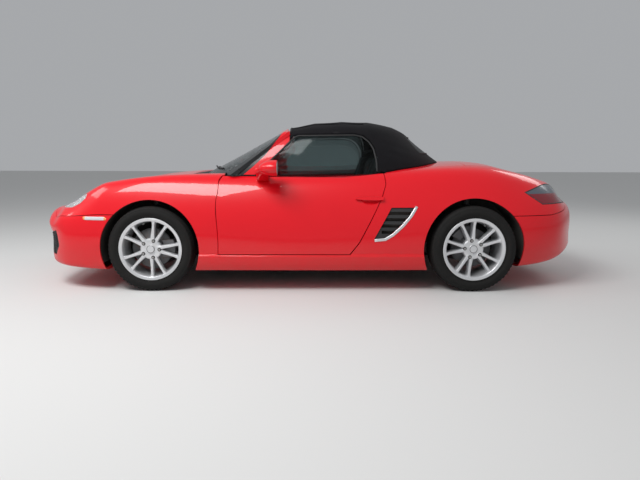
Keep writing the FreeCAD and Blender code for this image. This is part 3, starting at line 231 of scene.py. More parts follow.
def red_lens():
    z = place()[2]
    upper = smooth(z, 0.728, 0.732)
    ribs = (z * 1500).sin() * 0.5 + 0.5
    colour = blend_colour(upper, (0.20, 0.003, 0.012, 1), (0.085, 0.10, 0.125, 1))
    return {"Base Color": colour, "Roughness": 0.20 + ribs * 0.05, "Coat Weight": 0.35,
            "Coat Roughness": 0.05, "Normal": bump(ribs, 0.12, 0.0008)}


def glass_border():
    film = noise(4, 3)
    return {"Base Color": (0.014, 0.016, 0.017), "Roughness": 0.25 + film * 0.05}


def dark_glass():
    film = noise(4, 3)
    return {"Base Color": (0.012, 0.014, 0.015), "Roughness": 0.30 + film * 0.08,
            "Specular IOR Level": 0.05, "Alpha": 0.95}


# Side marker on the front bumper: x and z of its middle, length and height, lean of its ends
MARKER_MIDDLE, MARKER_SIZE, MARKER_LEAN = (-1.655, 0.5475), (0.185, 0.025), -0.2


def marker_lens():
    x = place()[0]
    amber = smooth(abs(x - MARKER_MIDDLE[0]), 0.070, 0.078)
    ribs = (x * 2200).sin() * 0.5 + 0.5
    return {"Base Color": blend_colour(amber, (0.62, 0.63, 0.66, 1), (0.85, 0.35, 0.10, 1)),
            "Roughness": 0.15 + ribs * 0.1, "Coat Weight": 1.0, "Normal": bump(ribs, 0.2, 0.0008)}


RECIPES = {"paint": red_paint, "roof_fabric": woven_roof, "window": tinted_glass,
           "trim": black_plastic, "underbody": road_grime, "seat": black_leather,
           "alloy": alloy_silver, "tyre": tyre_rubber, "cast": cast_metal, "exhaust": steel_tube,
           "lamp_clear": clear_lens, "lamp_red": red_lens, "marker": marker_lens,
           "border": glass_border}
slots = {slot: finish(recipe.__name__, recipe) for slot, recipe in RECIPES.items()}
slots["hoop"] = slots["exhaust"]
slots["engine"] = slots["cast"]
for entry in frame["record"]["subparts"]:
    node = nodes[entry["node"]]
    node.data.materials.clear()
    node.data.materials.append(slots[entry["material_slot"]])
nodes["rear_window"].data.materials[0] = finish("dark_glass", dark_glass)

# Modelling helpers

MERGE = 1e-5  # points nearer than this are one


def piece(name, shape, coat, body, bevel=0.0, flat=False):
    """Turns a bmesh into an object that rides on a body and takes a slot's finish."""
    bmesh.ops.remove_doubles(shape, verts=shape.verts, dist=MERGE)
    bmesh.ops.recalc_face_normals(shape, faces=shape.faces)
    mesh = bpy.data.meshes.new(name)
    shape.to_mesh(mesh)
    shape.free()
    made = bpy.data.objects.new(name, mesh)
    bpy.context.collection.objects.link(made)
    for face in mesh.polygons:
        face.use_smooth = not flat
    mesh.materials.append(coat)
    if bevel:
        rounding = made.modifiers.new("rounding", "BEVEL")
        rounding.width, rounding.segments, rounding.limit_method = bevel, 2, "ANGLE"
        rounding.harden_normals = True
    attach(made, body)
    return made


def ring(shape, profile, centre, steps, turn=360.0, axis=(0, 1, 0), first=(1, 0, 0)):
    """Spins a profile of radius and place along the axis round an axis through the centre."""
    axis, out = Vector(axis).normalized(), Vector(first)
    out = (out - axis * out.dot(axis)).normalized()
    points = [shape.verts.new(Vector(centre) + out * radius + axis * along)
              for radius, along in profile]
    edges = [shape.edges.new(pair) for pair in zip(points, points[1:])]
    bmesh.ops.spin(shape, geom=points + edges, cent=centre, axis=axis,
                   angle=math.radians(turn), steps=steps, use_merge=turn == 360.0)


def loft(shape, rings):
    """Skin over rows of points, each row closed round, with both ends shut."""
    rows = [[shape.verts.new(point) for point in row] for row in rings]
    for one, two in zip(rows, rows[1:]):
        for k in range(len(one)):
            after = (k + 1) % len(one)
            shape.faces.new((one[k], one[after], two[after], two[k]))
    shape.faces.new(rows[0][::-1])
    shape.faces.new(rows[-1])


def copy_of(name, side=0):
    """Merged copy of a node's mesh, of one side of the car when side is set."""
    shape = bmesh.new()
    shape.from_mesh(nodes[name].data)
    bmesh.ops.remove_doubles(shape, verts=shape.verts, dist=MERGE)
    if side:
        bmesh.ops.delete(shape, geom=[v for v in shape.verts if v.co.y * side < 0],
                         context="VERTS")
    return shape


def settle(made):
    """Makes a piece's modifiers part of its mesh."""
    mesh = bpy.data.meshes.new_from_object(
        made.evaluated_get(bpy.context.evaluated_depsgraph_get()))
    made.modifiers.clear()
    made.data = mesh


def disc(shape, centre, axis, radius, depth, sides=32, tip=None):
    """Cylinder or cone whose middle lies at the centre."""
    turn = Vector((0, 0, 1)).rotation_difference(Vector(axis)).to_matrix().to_4x4()
    bmesh.ops.create_cone(shape, cap_ends=True, cap_tris=False, segments=sides, radius1=radius,
                          radius2=radius if tip is None else tip, depth=depth,
                          matrix=Matrix.Translation(centre) @ turn)


def flip(shape, side):
    """Mirrors a shape made for the left side when it is for the right one."""
    if side > 0:
        bmesh.ops.transform(shape, matrix=Matrix.Scale(-1, 4, (0, 1, 0)), verts=shape.verts)


def block(shape, low, high):
    """Box between two corners."""
    low, high = Vector(low), Vector(high)
    bmesh.ops.create_cube(shape, size=1, matrix=Matrix.Translation((low + high) / 2)
                          @ Matrix.Diagonal((*(high - low), 1)))


def cut_at(shape, spot, normal):
    """Adds the edges where a plane crosses a shape."""
    bmesh.ops.bisect_plane(shape, geom=shape.verts[:] + shape.edges[:] + shape.faces[:],
                           dist=MERGE, plane_co=spot, plane_no=normal)


def keep_faces(shape, kept):
    bmesh.ops.delete(shape, geom=[f for f in shape.faces if f not in kept], context="FACES")


def thicken(shape, shift):
    """Gives a sheet a back, shifted from it."""
    made = bmesh.ops.extrude_face_region(shape, geom=shape.faces[:])
    for vert in (v for v in made["geom"] if isinstance(v, bmesh.types.BMVert)):
        vert.co += shift


def tube(name, points, radius, coat, body, round_steps=4, closed=False):
    """Round strip along a smooth line through points, made a mesh."""
    line = bpy.data.curves.new(name, "CURVE")
    line.dimensions = "3D"
    line.bevel_depth, line.bevel_resolution = radius, round_steps
    line.use_fill_caps = not closed
    spline = line.splines.new("NURBS")
    spline.points.add(len(points) - 1)
    for knot, spot in zip(spline.points, points):
        knot.co = (*spot, 1)
    spline.use_cyclic_u, spline.use_endpoint_u = closed, not closed
    spline.order_u, spline.resolution_u = 4, 6
    holder = bpy.data.objects.new(name + "_line", line)
    bpy.context.collection.objects.link(holder)
    mesh = bpy.data.meshes.new_from_object(holder)
    bpy.data.objects.remove(holder)
    shape = bmesh.new()
    shape.from_mesh(mesh)
    return piece(name, shape, coat, body)


SIDES = (("left", -1), ("right", 1))

# Wheels: x of the axle, y of the middle plane, tyre's radius and half width, places of flange,
# bolting face and outer face from the middle plane, angle in degrees of the first pair of spokes
WHEELS = {
    "front": (-1.25, 0.745, 0.318, 0.1025, 0.094, 0.055, 0.080, 68.6),
    "rear": (1.165, 0.767, 0.322, 0.1175, 0.114, 0.040, 0.084, 32.0),
}
BEAD = 0.216  # radius of the rim's bead seat
BOLT_CIRCLE = 0.065
SPOKE_PAIRS = 5
# Middle of the rim: radius and place from the outer face
HUB = ((0.0, -0.004), (0.026, -0.004), (0.029, -0.002), (0.031, 0.004), (0.038, 0.003),
       (0.060, 0.001), (0.074, 0.004), (0.080, 0.012))
# Brake disc: radius and place from the bolting face, with the groove between its two plates
DISC = ((0.149, 0.032), (0.149, 0.041), (0.140, 0.041), (0.140, 0.047), (0.149, 0.047),
        (0.149, 0.056), (0.088, 0.056), (0.086, 0.034), (0.082, -0.001), (0.078, -0.001),
        (0.080, 0.020), (0.092, 0.032), (0.149, 0.032))


def wheel_spokes(shape, centre, outer, flange, bolting, first):
    """Five pairs of spokes. Outwards is minus y, and the pair parts on its way to the rim."""
    start, end, steps = 0.050, BEAD - 0.004, 10
    for pair in range(SPOKE_PAIRS):
        for side in (-1, 1):
            rings = []
            for share in (k / steps for k in range(steps + 1)):
                reach = start + (end - start) * share
                half = 0.0165 - 0.0060 * math.sin(math.pi * min(share * 1.15, 1) * 0.5)
                half += 0.006 * max(0.0, (share - 0.8) / 0.2) ** 2
                swing = math.radians(first + 72 * pair) + side * (
                    0.20 * (1 - share) ** 1.3 + math.radians(14.0) * share ** 0.8)
                face = -(outer + (flange - 0.010 - outer) * share ** 1.6)
                back = -bolting - 0.004 + 0.020 * share
                out = Vector((math.cos(swing), 0, math.sin(swing)))
                across = Vector((-math.sin(swing), 0, math.cos(swing)))
                rings.append([Vector(centre) + out * reach + across * half * w + Vector((0, y, 0))
                              for w, y in ((-1.15, back), (1.15, back), (1, face + 0.007),
                                           (0.72, face), (-0.72, face), (-1, face + 0.007))])
            loft(shape, rings)


def wheel_face(side_name, end, side):
    axle, plane, radius, half, flange, bolting, outer, first = WHEELS[end]
    centre, wheel = (axle, -plane, radius), f"{end}_wheel_{side_name}"
    shape = bmesh.new()
    lip = BEAD + 0.0195
    ring(shape, [(lip - 0.002, -flange + 0.006), (lip, -flange + 0.002), (lip - 0.003, -flange),
                 (lip - 0.008, -flange + 0.001), (BEAD - 0.004, -flange + 0.006),
                 (BEAD - 0.010, -flange + 0.016), (BEAD - 0.012, -flange + 0.050),
                 (BEAD - 0.022, 0.0), (BEAD - 0.018, flange - 0.01), (lip - 0.008, flange - 0.001),
                 (lip, flange - 0.002), (lip, flange - 0.008), (BEAD, flange - 0.012),
                 (BEAD - 0.002, 0), (BEAD, -flange + 0.012), (lip - 0.002, -flange + 0.006)],
         centre, 96)
    ring(shape, [*((reach, along - outer) for reach, along in HUB), (0.080, -bolting),
                 (0.0, -bolting)], centre, 60)
    wheel_spokes(shape, centre, outer, flange, bolting, first)
    flip(shape, side)
    rim = piece(f"{end}_rim_{side_name}", shape, slots["alloy"], wheel, bevel=0.0022)
    # bolts, each in a black disc the size of its bore that is painted shade of the bolt hole, then
    # cap ring and valve
    turns = [math.radians(first + 72 * pair) for pair in range(SPOKE_PAIRS)]
    spots = [Vector(centre) + Vector((BOLT_CIRCLE * math.cos(angle), -outer,
                                      BOLT_CIRCLE * math.sin(angle))) for angle in turns]
    shape = bmesh.new()
    # black discs round the bolts: painted shade of the bolt holes
    for spot in spots:
        disc(shape, spot + Vector((0, 0.002, 0)), (0, 1, 0), 0.0135, 0.008, 24)
    ring(shape, [(0.0262, -outer - 0.0035), (0.0262, -outer - 0.0052), (0.0285, -outer - 0.0052),
                 (0.0290, -outer - 0.0030)], centre, 48)
    flip(shape, side)
    piece(f"{end}_bolt_seats_{side_name}", shape, slots["trim"], wheel)
    shape = bmesh.new()
    for spot in spots:
        disc(shape, spot - Vector((0, 0.003, 0)), (0, 1, 0), 0.0085, 0.010, 6)
    angle = math.radians(first + 36)
    disc(shape, Vector(centre) + Vector((0.192 * math.cos(angle), -flange + 0.03,
                                         0.192 * math.sin(angle))), (0, 1, 0), 0.004, 0.035, 12)
    flip(shape, side)
    piece(f"{end}_wheel_bolts_{side_name}", shape, slots["exhaust"], wheel, bevel=0.0006)
    shape = bmesh.new()
    ring(shape, [(reach, along - bolting) for reach, along in DISC], centre, 72)
    flip(shape, side)
    piece(f"{end}_brake_disc_{side_name}", shape, slots["cast"], wheel)
    # tyre: half of the tread's width, then the ribs of the tread as shares of it
    shape = bmesh.new()
    width = half - 0.016
    edges = [-0.62, -0.52, -0.22, -0.12, 0.12, 0.22, 0.52, 0.62]
    line = [(radius - 0.0035, width)]
    for low, high in zip(edges[::2], edges[1::2]):
        line += [(radius, -high * width + 0.0008), (radius - 0.007, -high * width),
                 (radius - 0.007, -low * width), (radius, -low * width - 0.0008)]
    profile = ([(BEAD + 0.001, flange - 0.012), (BEAD + 0.020, flange - 0.008),
                (BEAD + 0.024, flange - 0.002), (BEAD + 0.031, half - 0.010),
                (BEAD + 0.040, half - 0.003), (BEAD + 0.056, half), (BEAD + 0.070, half - 0.001),
                (BEAD + 0.074, half - 0.003), (BEAD + 0.085, half - 0.006),
                (radius - 0.012, half - 0.006)])
    back = [(r, -y) for r, y in reversed(profile)]
    crown = sorted(line + [(radius - 0.0035, -width)], key=lambda p: -p[1])
    ring(shape, profile + crown + back, centre, 120)
    # blocks on the shoulders
    for vert in shape.verts:
        offset = vert.co - Vector(centre)
        reach = math.hypot(offset.x, offset.z)
        if abs(offset.y) > width * 0.93 and reach > radius - 0.014:
            step = round(math.degrees(math.atan2(offset.z, offset.x)) / 3)
            if step % 2:
                pull = (reach - 0.006) / reach
                vert.co = Vector(centre) + Vector((offset.x * pull, offset.y, offset.z * pull))
    flip(shape, side)
    tyre = piece(f"{end}_tread_{side_name}", shape, slots["tyre"], wheel)
    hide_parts(wheel)
    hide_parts(f"{end}_tyre_{side_name}")


for end in WHEELS:
    for side_name, side in SIDES:
        wheel_face(side_name, end, side)

# Trim that lies on the skin


skins = {}


def search_tree(mesh):
    return BVHTree.FromPolygons([v.co for v in mesh.vertices], [p.vertices for p in mesh.polygons])


def skin_of(node):
    """Search tree of a node's faces."""
    if node not in skins:
        skins[node] = search_tree(nodes[node].data)
    return skins[node]


def touch(node, start, way):
    """Point and normal where a ray first meets a node."""
    spot, normal, _, _ = skin_of(node).ray_cast(Vector(start), Vector(way).normalized())
    if spot is None:
        raise ValueError(f"no skin of {node} at {tuple(start)}")
    return spot, normal


def between(points, step):
    """Points spaced evenly along a line of x and z, or of any two numbers."""
    points = [Vector(p) for p in points]
    laid = []
    for one, two in zip(points, points[1:]):
        count = max(1, round((two - one).length / step))
        laid += [one.lerp(two, k / count) for k in range(count)]
    return laid + [points[-1]]


def side_touch(node, side, x, z):
    return touch(node, (x, side * 1.3, z), (0, -side, 0))


def top_touch(node, x, y):
    return touch(node, (x, y, 2.0), (0, 0, -1))


def lifted(met, lift):
    return [spot + normal * lift for spot, normal in met]


def skin_line(node, side, line, lift=0.0):
    """Points of x and z laid on the side of a node."""
    return lifted([side_touch(node, side, x, z) for x, z in between(line, 0.02)], lift)


def top_line(node, line, lift, step=0.02):
    """Points of x and y laid on a node from above."""
    return lifted([top_touch(node, x, y) for x, y in between(line, step)], lift)


def end_line(node, way, line, lift):
    """Points of y and z laid on a node from the front, way 1, or from behind, way -1."""
    return lifted([touch(node, (-way * 3, y, z), (way, 0, 0)) for y, z in between(line, 0.02)],
                  lift)


def strip(name, node, points, width, height, coat, body):
    """Flat band along points that lie on a node, crowned across and sunk into the node."""
    sink = 0.003
    shape = bmesh.new()
    rings = []
    for k, point in enumerate(points):
        ahead = (points[min(k + 1, len(points) - 1)] - points[max(k - 1, 0)]).normalized()
        _, normal, _, _ = skin_of(node).find_nearest(point)
        side = ahead.cross(normal).normalized()
        up = side.cross(ahead).normalized()
        rings.append([point + side * width * w / 2 + up * h for w, h in (
            (-1, -sink), (1, -sink), (1, height * 0.55), (0.7, height), (-0.7, height),
            (-1, height * 0.55))])
    loft(shape, rings)
    piece(name, shape, coat, body)


def stitches(name, points, coat, body):
    """Row of short threads along points."""
    long, thick, lift = 0.006, 0.0011, 0.0004
    shape = bmesh.new()
    for one, two in zip(points, points[1:]):
        middle = (one + two) / 2
        turn = Vector((1, 0, 0)).rotation_difference((two - one).normalized()).to_matrix().to_4x4()
        bmesh.ops.create_cube(shape, size=1, matrix=Matrix.Translation(
            middle + Vector((0, 0, lift))) @ turn @ Matrix.Diagonal((long, thick, thick, 1)))
    piece(name, shape, coat, body, flat=True)


def side_marker(side_name, side):
    """Lens with round ends laid on the side of the front bumper."""
    lift, rise, depth = 0.0015, 0.0025, 0.006
    shape = bmesh.new()
    bmesh.ops.create_grid(shape, x_segments=24, y_segments=6, size=1)
    long, high = MARKER_SIZE[0] / 2, MARKER_SIZE[1] / 2
    for vert in shape.verts:
        u, v = vert.co.x, vert.co.y
        past = (abs(u) * long - (long - high)) / high
        squeeze = math.sqrt(max(0.0, 1 - max(0.0, past) ** 2))
        spot, normal = side_touch("front_bumper", side,
                                  MARKER_MIDDLE[0] + u * long + v * high * MARKER_LEAN,
                                  MARKER_MIDDLE[1] + v * high * max(squeeze, 0.02))
        vert.co = spot + normal * (lift + rise * ((1 - v * v) * (1 - u ** 4)))
    thicken(shape, Vector((0, -side * depth, 0)))
    piece(f"side_marker_{side_name}", shape, slots["marker"], "body")


# Nose: x and how far the upper faces fall, z and how far the face of the bumper goes back
NOSE_FALL = [(-2.20, 0.0), (-2.12, 0.0), (-2.09, 0.012), (-2.059, 0.036), (-1.996, 0.076),
             (-1.935, 0.086), (-1.863, 0.078), (-1.801, 0.058), (-1.743, 0.038), (-1.683, 0.018),
             (-1.638, 0.005), (-1.60, 0.0), (-1.50, 0.0)]
NOSE_TUCK = [(0.0, 0.010), (0.10, 0.010), (0.249, 0.014), (0.287, 0.015), (0.357, 0.026),
             (0.414, 0.027), (0.462, 0.014), (0.51, 0.0), (1.0, 0.0)]
NOSE_FACE = (1.85, 2.05)  # -x where the face's shift begins and where it is full
# Tail: the same two tables, then where the face's shift and the fall begin and are full
TAIL_FALL = [(1.28, 0.0), (1.36, 0.003), (1.44, 0.014), (1.52, 0.024), (1.62, 0.031), (1.75, 0.038),
             (1.85, 0.038), (1.95, 0.045), (2.02, 0.060), (2.08, 0.072), (2.12, 0.060),
             (2.17, 0.030), (2.22, 0.0)]
TAIL_TUCK = [(0.0, 0.022), (0.15, 0.022), (0.204, 0.010), (0.257, 0.004), (0.31, 0.008),
             (0.363, 0.018), (0.415, 0.025), (0.52, 0.026), (0.57, 0.027), (0.623, 0.031),
             (0.68, 0.040), (0.75, 0.045), (1.0, 0.045)]
TAIL_FACE, TAIL_TOP = (1.80, 2.02), (0.58, 0.80)


def between_rows(table, at):
    """Smooth value between the rows of a table of place and value."""
    at = min(max(at, table[0][0]), table[-1][0])
    k = next(k for k in range(len(table) - 1) if at <= table[k + 1][0])

    def slope(j):
        (a, low), (b, high) = table[max(j - 1, 0)], table[min(j + 1, len(table) - 1)]
        return (high - low) / (b - a)

    (a, low), (b, high) = table[k], table[k + 1]
    t = (at - a) / (b - a)
    return ((2 * t ** 3 - 3 * t ** 2 + 1) * low + (3 * t ** 2 - 2 * t ** 3) * high
            + (b - a) * ((t ** 3 - 2 * t ** 2 + t) * slope(k) + (t ** 3 - t ** 2) * slope(k + 1)))


def eased(value, low, high):
    share = min(1.0, max(0.0, (value - low) / (high - low)))
    return share * share * (3 - 2 * share)


def nose_place(spot):
    """Where a point of the nose goes: it slopes down to the lamps and its face is tucked in."""
    x, y, z = spot
    low = 0.50 - 0.13 * eased(-x, 1.93, 2.06)  # nothing falls below this height
    return Vector((x + between_rows(NOSE_TUCK, z) * eased(-x, *NOSE_FACE), y,
                   z - between_rows(NOSE_FALL, x) * eased(z, low, low + 0.24)))


def tail_place(spot):
    """Where a point of the tail goes: it slopes down between the lamps, its face is tucked in."""
    x, y, z = spot
    inner = 1 - 0.65 * eased(abs(y), 0.45, 0.74)  # less at the sides
    return Vector((x - between_rows(TAIL_TUCK, z) * eased(x, *TAIL_FACE), y,
                   z - between_rows(TAIL_FALL, x) * inner * eased(z, *TAIL_TOP)))


def sill_place(spot):
    """Where a point of the side goes: the sill stands out below the crease under the door."""
    x, y, z = spot
    # fades out at the crease, at the foot, inwards, and towards both wheels
    out = SILL_OUT * eased(-z, -0.286, -0.274) * eased(z, 0.14, 0.24) * eased(abs(y), 0.78, 0.83)
    out *= eased(x, -1.00, -0.90) * eased(-x, -0.90, -0.80)
    return Vector((x, y + math.copysign(out, y), z))


def moved(shape, where):
    for vert in shape.verts:
        vert.co = where(vert.co)
    return shape


def creased(shape, angle=0.5):
    """Keeps the corners of a merged panel sharp."""
    for edge in shape.edges:
        edge.smooth = len(edge.link_faces) == 2 and edge.calc_face_angle(0) < angle
    return shape


BODY_OF = {name: body for body, names in frame["record"]["behaviour"]["bodies"].items()
           for name in names}
SLOT_OF = {entry["node"]: entry["material_slot"] for entry in frame["record"]["subparts"]}
NOSE_PANELS = ("front_bumper", "bumper_grille", "fender_left", "fender_right", "bonnet",
               "front_luggage_tub")
TAIL_PANELS = ("rear_bumper", "quarter_left", "quarter_right", "rear_lid", "rear_luggage_tub",
               "tail_lamps")
SILLS = ("side_frame_left", "side_frame_right")
SILL_OUT = 0.014
SILL_CUTS = (0.284, 0.276, 0.262, 0.24, 0.21, 0.18)  # heights that get edges to bend at
for name in NOSE_PANELS + TAIL_PANELS + SILLS:
    shape = copy_of(name)
    if name in NOSE_PANELS:
        moved(shape, nose_place)
    elif name in TAIL_PANELS:
        moved(shape, tail_place)
    if name.endswith(("_left", "_right")):
        for z in SILL_CUTS:
            cut_at(shape, (0, 0, z), (0, 0, 1))
        moved(shape, sill_place)
    panel = piece(f"{name}_form", creased(shape), slots[SLOT_OF[name]], BODY_OF[name])
    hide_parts(name)
    skins[name] = search_tree(panel.data)

# Lines of x and z: frame of the door's pane, curved edge of the side vent and its upper corner
WINDOW_EDGE = [(-0.462, 0.872), (-0.177, 1.149), (-0.148, 1.161), (0.283, 1.167), (0.341, 1.154),
               (0.393, 1.113), (0.425, 1.061), (0.443, 0.980), (0.449, 0.892)]
VENT_EDGE = [(0.731, 0.641), (0.689, 0.573), (0.627, 0.500), (0.556, 0.434), (0.497, 0.399),
             (0.418, 0.391)]
VENT_CORNER, VENT_MIDDLE = (0.546, 0.629), Vector((0.57, 0.54))
for side_name, side in SIDES:
    door, glass = f"door_{side_name}", f"door_glass_{side_name}"
    side_marker(side_name, side)
    tube(f"window_seal_{side_name}", skin_line(glass, side, WINDOW_EDGE, 0.002), 0.006,
         slots["trim"], door)
    belt = [(x, top_touch(door, x, side * 0.736)[0].z + 0.005)
            for x in (-0.462 + 0.035 * k for k in range(27))]
    strip(f"belt_seal_{side_name}", glass, skin_line(glass, side, belt, 0.001), 0.014, 0.005,
          slots["trim"], door)
    # silver strip round the curved edge of the side vent: a painted highlight, standing in for
    # sunlight glinting on the vent's body-colour edge
    strip(f"vent_highlight_strip_{side_name}", f"quarter_{side_name}",
          skin_line(f"quarter_{side_name}", side, VENT_EDGE), 0.021, 0.004,
          slots["alloy"], "body")

# Door handles, backs of the side vents and seals of the tail lamps


def outer_faces(shape, way, angle=0.35):
    """Faces that join, with no sharp edge, the one that looks most along a way."""
    shape.normal_update()
    found = {max(shape.faces, key=lambda face: face.normal.dot(way) * face.calc_area())}
    waiting = list(found)
    while waiting:
        face = waiting.pop()
        for other in (other for edge in face.edges for other in edge.link_faces):
            if other not in found and face.normal.angle(other.normal, 0) < angle:
                found.add(other)
                waiting.append(other)
    return found


HANDLE_LINE = ((0.284, 0.186), (0.686, 0.013))  # x and z: start and run
HANDLE_DEPTH, HANDLE_HEIGHT, HANDLE_STEPS = 0.010, 0.0125, 14
SEAL_WIDTH, SEAL_LIFT, SEAL_DEPTH = 0.007, 0.0012, 0.004
for side_name, side in SIDES:
    door = f"door_{side_name}"
    shape, rings = bmesh.new(), []
    for share in (k / HANDLE_STEPS for k in range(HANDLE_STEPS + 1)):
        x, z = (start + run * share for start, run in HANDLE_LINE)
        round_end = math.sqrt(max(0.02, 1 - abs(2 * share - 1) ** 5))
        y = abs(side_touch(door, side, x, z + 0.045)[0].y) + 0.006
        rings.append([(x, side * (y + math.cos(a) * HANDLE_DEPTH * round_end),
                       z + math.sin(a) * HANDLE_HEIGHT * round_end)
                      for a in (j * math.tau / 12 for j in range(12))])
    loft(shape, rings)
    piece(f"door_handle_{side_name}", shape, slots["paint"], door)

    inner = min(abs(v.co.y) for v in copy_of("side_vents", side).verts) + 0.003
    outline = [p + (p - VENT_MIDDLE) * 0.06 for p in map(Vector, [*VENT_EDGE, VENT_CORNER])]
    shape = bmesh.new()
    loft(shape, [[(x, side * (inner - depth), z) for x, z in outline] for depth in (0, 0.003)])
    piece(f"vent_back_{side_name}", shape, slots["underbody"], "body", flat=True)

    way = Vector((0.4, side * 0.8, 0.4))
    shape = moved(copy_of("tail_lamps", side), tail_place)
    keep_faces(shape, outer_faces(shape, way))
    keep_faces(shape, set(bmesh.ops.inset_region(
        shape, faces=shape.faces[:], thickness=SEAL_WIDTH, use_boundary=True,
        use_even_offset=True)["faces"]))
    shape.normal_update()
    for vert in shape.verts:
        vert.co += vert.normal * SEAL_LIFT
    thicken(shape, -way * SEAL_DEPTH)
    piece(f"tail_lamp_seal_{side_name}", shape, slots["trim"], "body")

# Folding roof

BOWS = (-0.215, -0.02, 0.20, 0.41, 0.62, 0.78, 1.10)
LONGEST_EDGE, SAG, SLACK, FOOT_SHIFT = 0.026, 0.0045, 0.0016, 0.050


def fabric_roof():
    """The roof's own outline, its cloth drawn tight over the bows and sagging between them."""
    shape = copy_of("soft_top")
    for _ in range(6):
        coarse = [edge for edge in shape.edges if edge.calc_length() > LONGEST_EDGE]
        if not coarse:
            break
        bmesh.ops.subdivide_edges(shape, edges=coarse, cuts=1)
        bmesh.ops.triangulate(shape, faces=[f for f in shape.faces if len(f.verts) > 3])
    shape.normal_update()
    for vert in shape.verts:
        x, y, z = vert.co
        low, high = max(b for b in BOWS if b <= x + 0.01), min(b for b in BOWS if b > x - 0.01)
        share = (x - low) / max(high - low, 0.05)
        loose = min(1.0, max(0.0, (z - 1.19) / 0.06))
        sag = SAG * math.sin(math.pi * min(max(share, 0), 1)) * loose
        # slack above the feet of the rear corners
        corner = max(0.0, 1 - abs(z - 1.04) / 0.10) * max(0.0, 1 - abs(x - 0.62) / 0.20)
        slack = SLACK * corner * math.sin(z * 95 + x * 30)
        vert.co -= Vector((0, 0, sag)) + vert.normal * slack
        vert.co.x += FOOT_SHIFT * eased(x, 0.84, 1.0) * eased(-z, -1.03, -0.93)
    return piece("fabric_roof", shape, slots["roof_fabric"], "body")


roof = fabric_roof()
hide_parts("soft_top")
for side_name, side in SIDES:
    rail = [(-0.200, side * 0.470), (0.200, side * 0.476), (0.360, side * 0.455)]
    seam = top_line("soft_top", rail, -0.003, 0.009)
    strip(f"roof_seam_{side_name}", "soft_top", seam, 0.022, 0.0052, slots["roof_fabric"], "body")
    for shift in (-0.007, 0.007):
        row = [(x, y + shift) for x, y in rail]
        stitches(f"roof_stitches_{side_name}_{'out' if shift * side > 0 else 'in'}",
                 top_line("soft_top", row, 0.0018, 0.009), slots["roof_fabric"], "body")
back_edge = [(-0.332, 1.162), (0.332, 1.162), (0.412, 1.032), (-0.412, 1.032), (-0.332, 1.162)]
tube("rear_window_seal", end_line("soft_top", -1, [(y * 1.02, z) for y, z in back_edge], 0.001),
     0.004, slots["trim"], "body", closed=True)
header = [(-0.208, y) for y in (-0.535, -0.3, 0.0, 0.3, 0.535)]
tube("header_seal", top_line("soft_top", header, -0.001), 0.0045, slots["trim"], "body")

# Windscreen frame, black where the pane is stuck to it
PILLAR_EDGE = [(-0.62, 0.82), (-0.487, 0.932), (-0.399, 1.015), (-0.323, 1.119), (-0.249, 1.217)]
shape = copy_of("windscreen_frame")
for (x, z), (next_x, next_z) in zip(PILLAR_EDGE, PILLAR_EDGE[1:]):
    cut_at(shape, (x, 0, z), (next_z - z, 0, x - next_x))
screen_surround = piece("screen_surround", creased(shape), slots["paint"], "body")
screen_surround.data.materials.append(slots["border"])
for face in screen_surround.data.polygons:
    x, _, z = face.center
    ahead = [x < low + (high - low) * (z - a) / (b - a)
             for (low, a), (high, b) in zip(PILLAR_EDGE, PILLAR_EDGE[1:]) if a <= z <= b]
    face.material_index = int(z < 1.185 and (z < PILLAR_EDGE[0][1] or any(ahead)))
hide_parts("windscreen_frame")

# Windscreen wipers


BLADE_Z, BLADE_LIFT, BLADE_STEPS = 0.905, 0.007, 14


def screen_point(y):
    spot, normal = touch("windscreen", (-2.0, y, BLADE_Z), (1, 0, 0))
    return spot + normal * BLADE_LIFT * (-1 if normal.x > 0 else 1)


for index, (foot_y, start_y, tip_y) in enumerate(((-0.36, -0.48, 0.16), (0.10, -0.02, 0.60)), 1):
    blade = [screen_point(start_y + (tip_y - start_y) * k / BLADE_STEPS)
             for k in range(BLADE_STEPS + 1)]
    tube(f"wiper_blade_{index}", blade, 0.0055, slots["trim"], "body")
    middle = blade[BLADE_STEPS // 2] + Vector((-0.008, 0, 0.012))
    foot, _ = top_touch("cowl", -0.80, foot_y)
    arm = [foot + Vector((0, 0, 0.010)), foot + Vector((0.01, 0.02, 0.034)),
           foot.lerp(middle, 0.5) + Vector((-0.006, 0, 0.028)), middle]
    tube(f"wiper_arm_{index}", arm, 0.0060, slots["trim"], "body")
    shape = bmesh.new()
    disc(shape, foot + Vector((0, 0, 0.008)), (0, 0, 1), 0.017, 0.022, 24, 0.012)
    piece(f"wiper_hub_{index}", shape, slots["trim"], "body", bevel=0.002)

# Head lamps

LAMP_WAY = Vector((-0.45, -0.35, 0.82)).normalized()
# Middle and radius of each round lamp, on the solid's form
LAMP_EYES = ((-1.845, 0.560, 0.652, 0.040), (-1.775, 0.630, 0.712, 0.034))


def lamp_skin(side, outer):
    """Outer faces of a head lamp's solid, or its walls and floor."""
    shape = moved(copy_of("headlamps", side), nose_place)
    shape.normal_update()
    way = Vector((LAMP_WAY.x, LAMP_WAY.y * -side, LAMP_WAY.z))
    keep_faces(shape, {f for f in shape.faces if (f.normal.dot(way) > 0.35) == outer})
    shrink, sink = (0.014, 0.0) if outer else (0.030, 0.004)
    middle = sum((v.co for v in shape.verts), Vector()) / len(shape.verts)
    for vert in shape.verts:
        away = vert.co - middle
        vert.co -= (away - way * away.dot(way)) * shrink + way * sink
    return shape


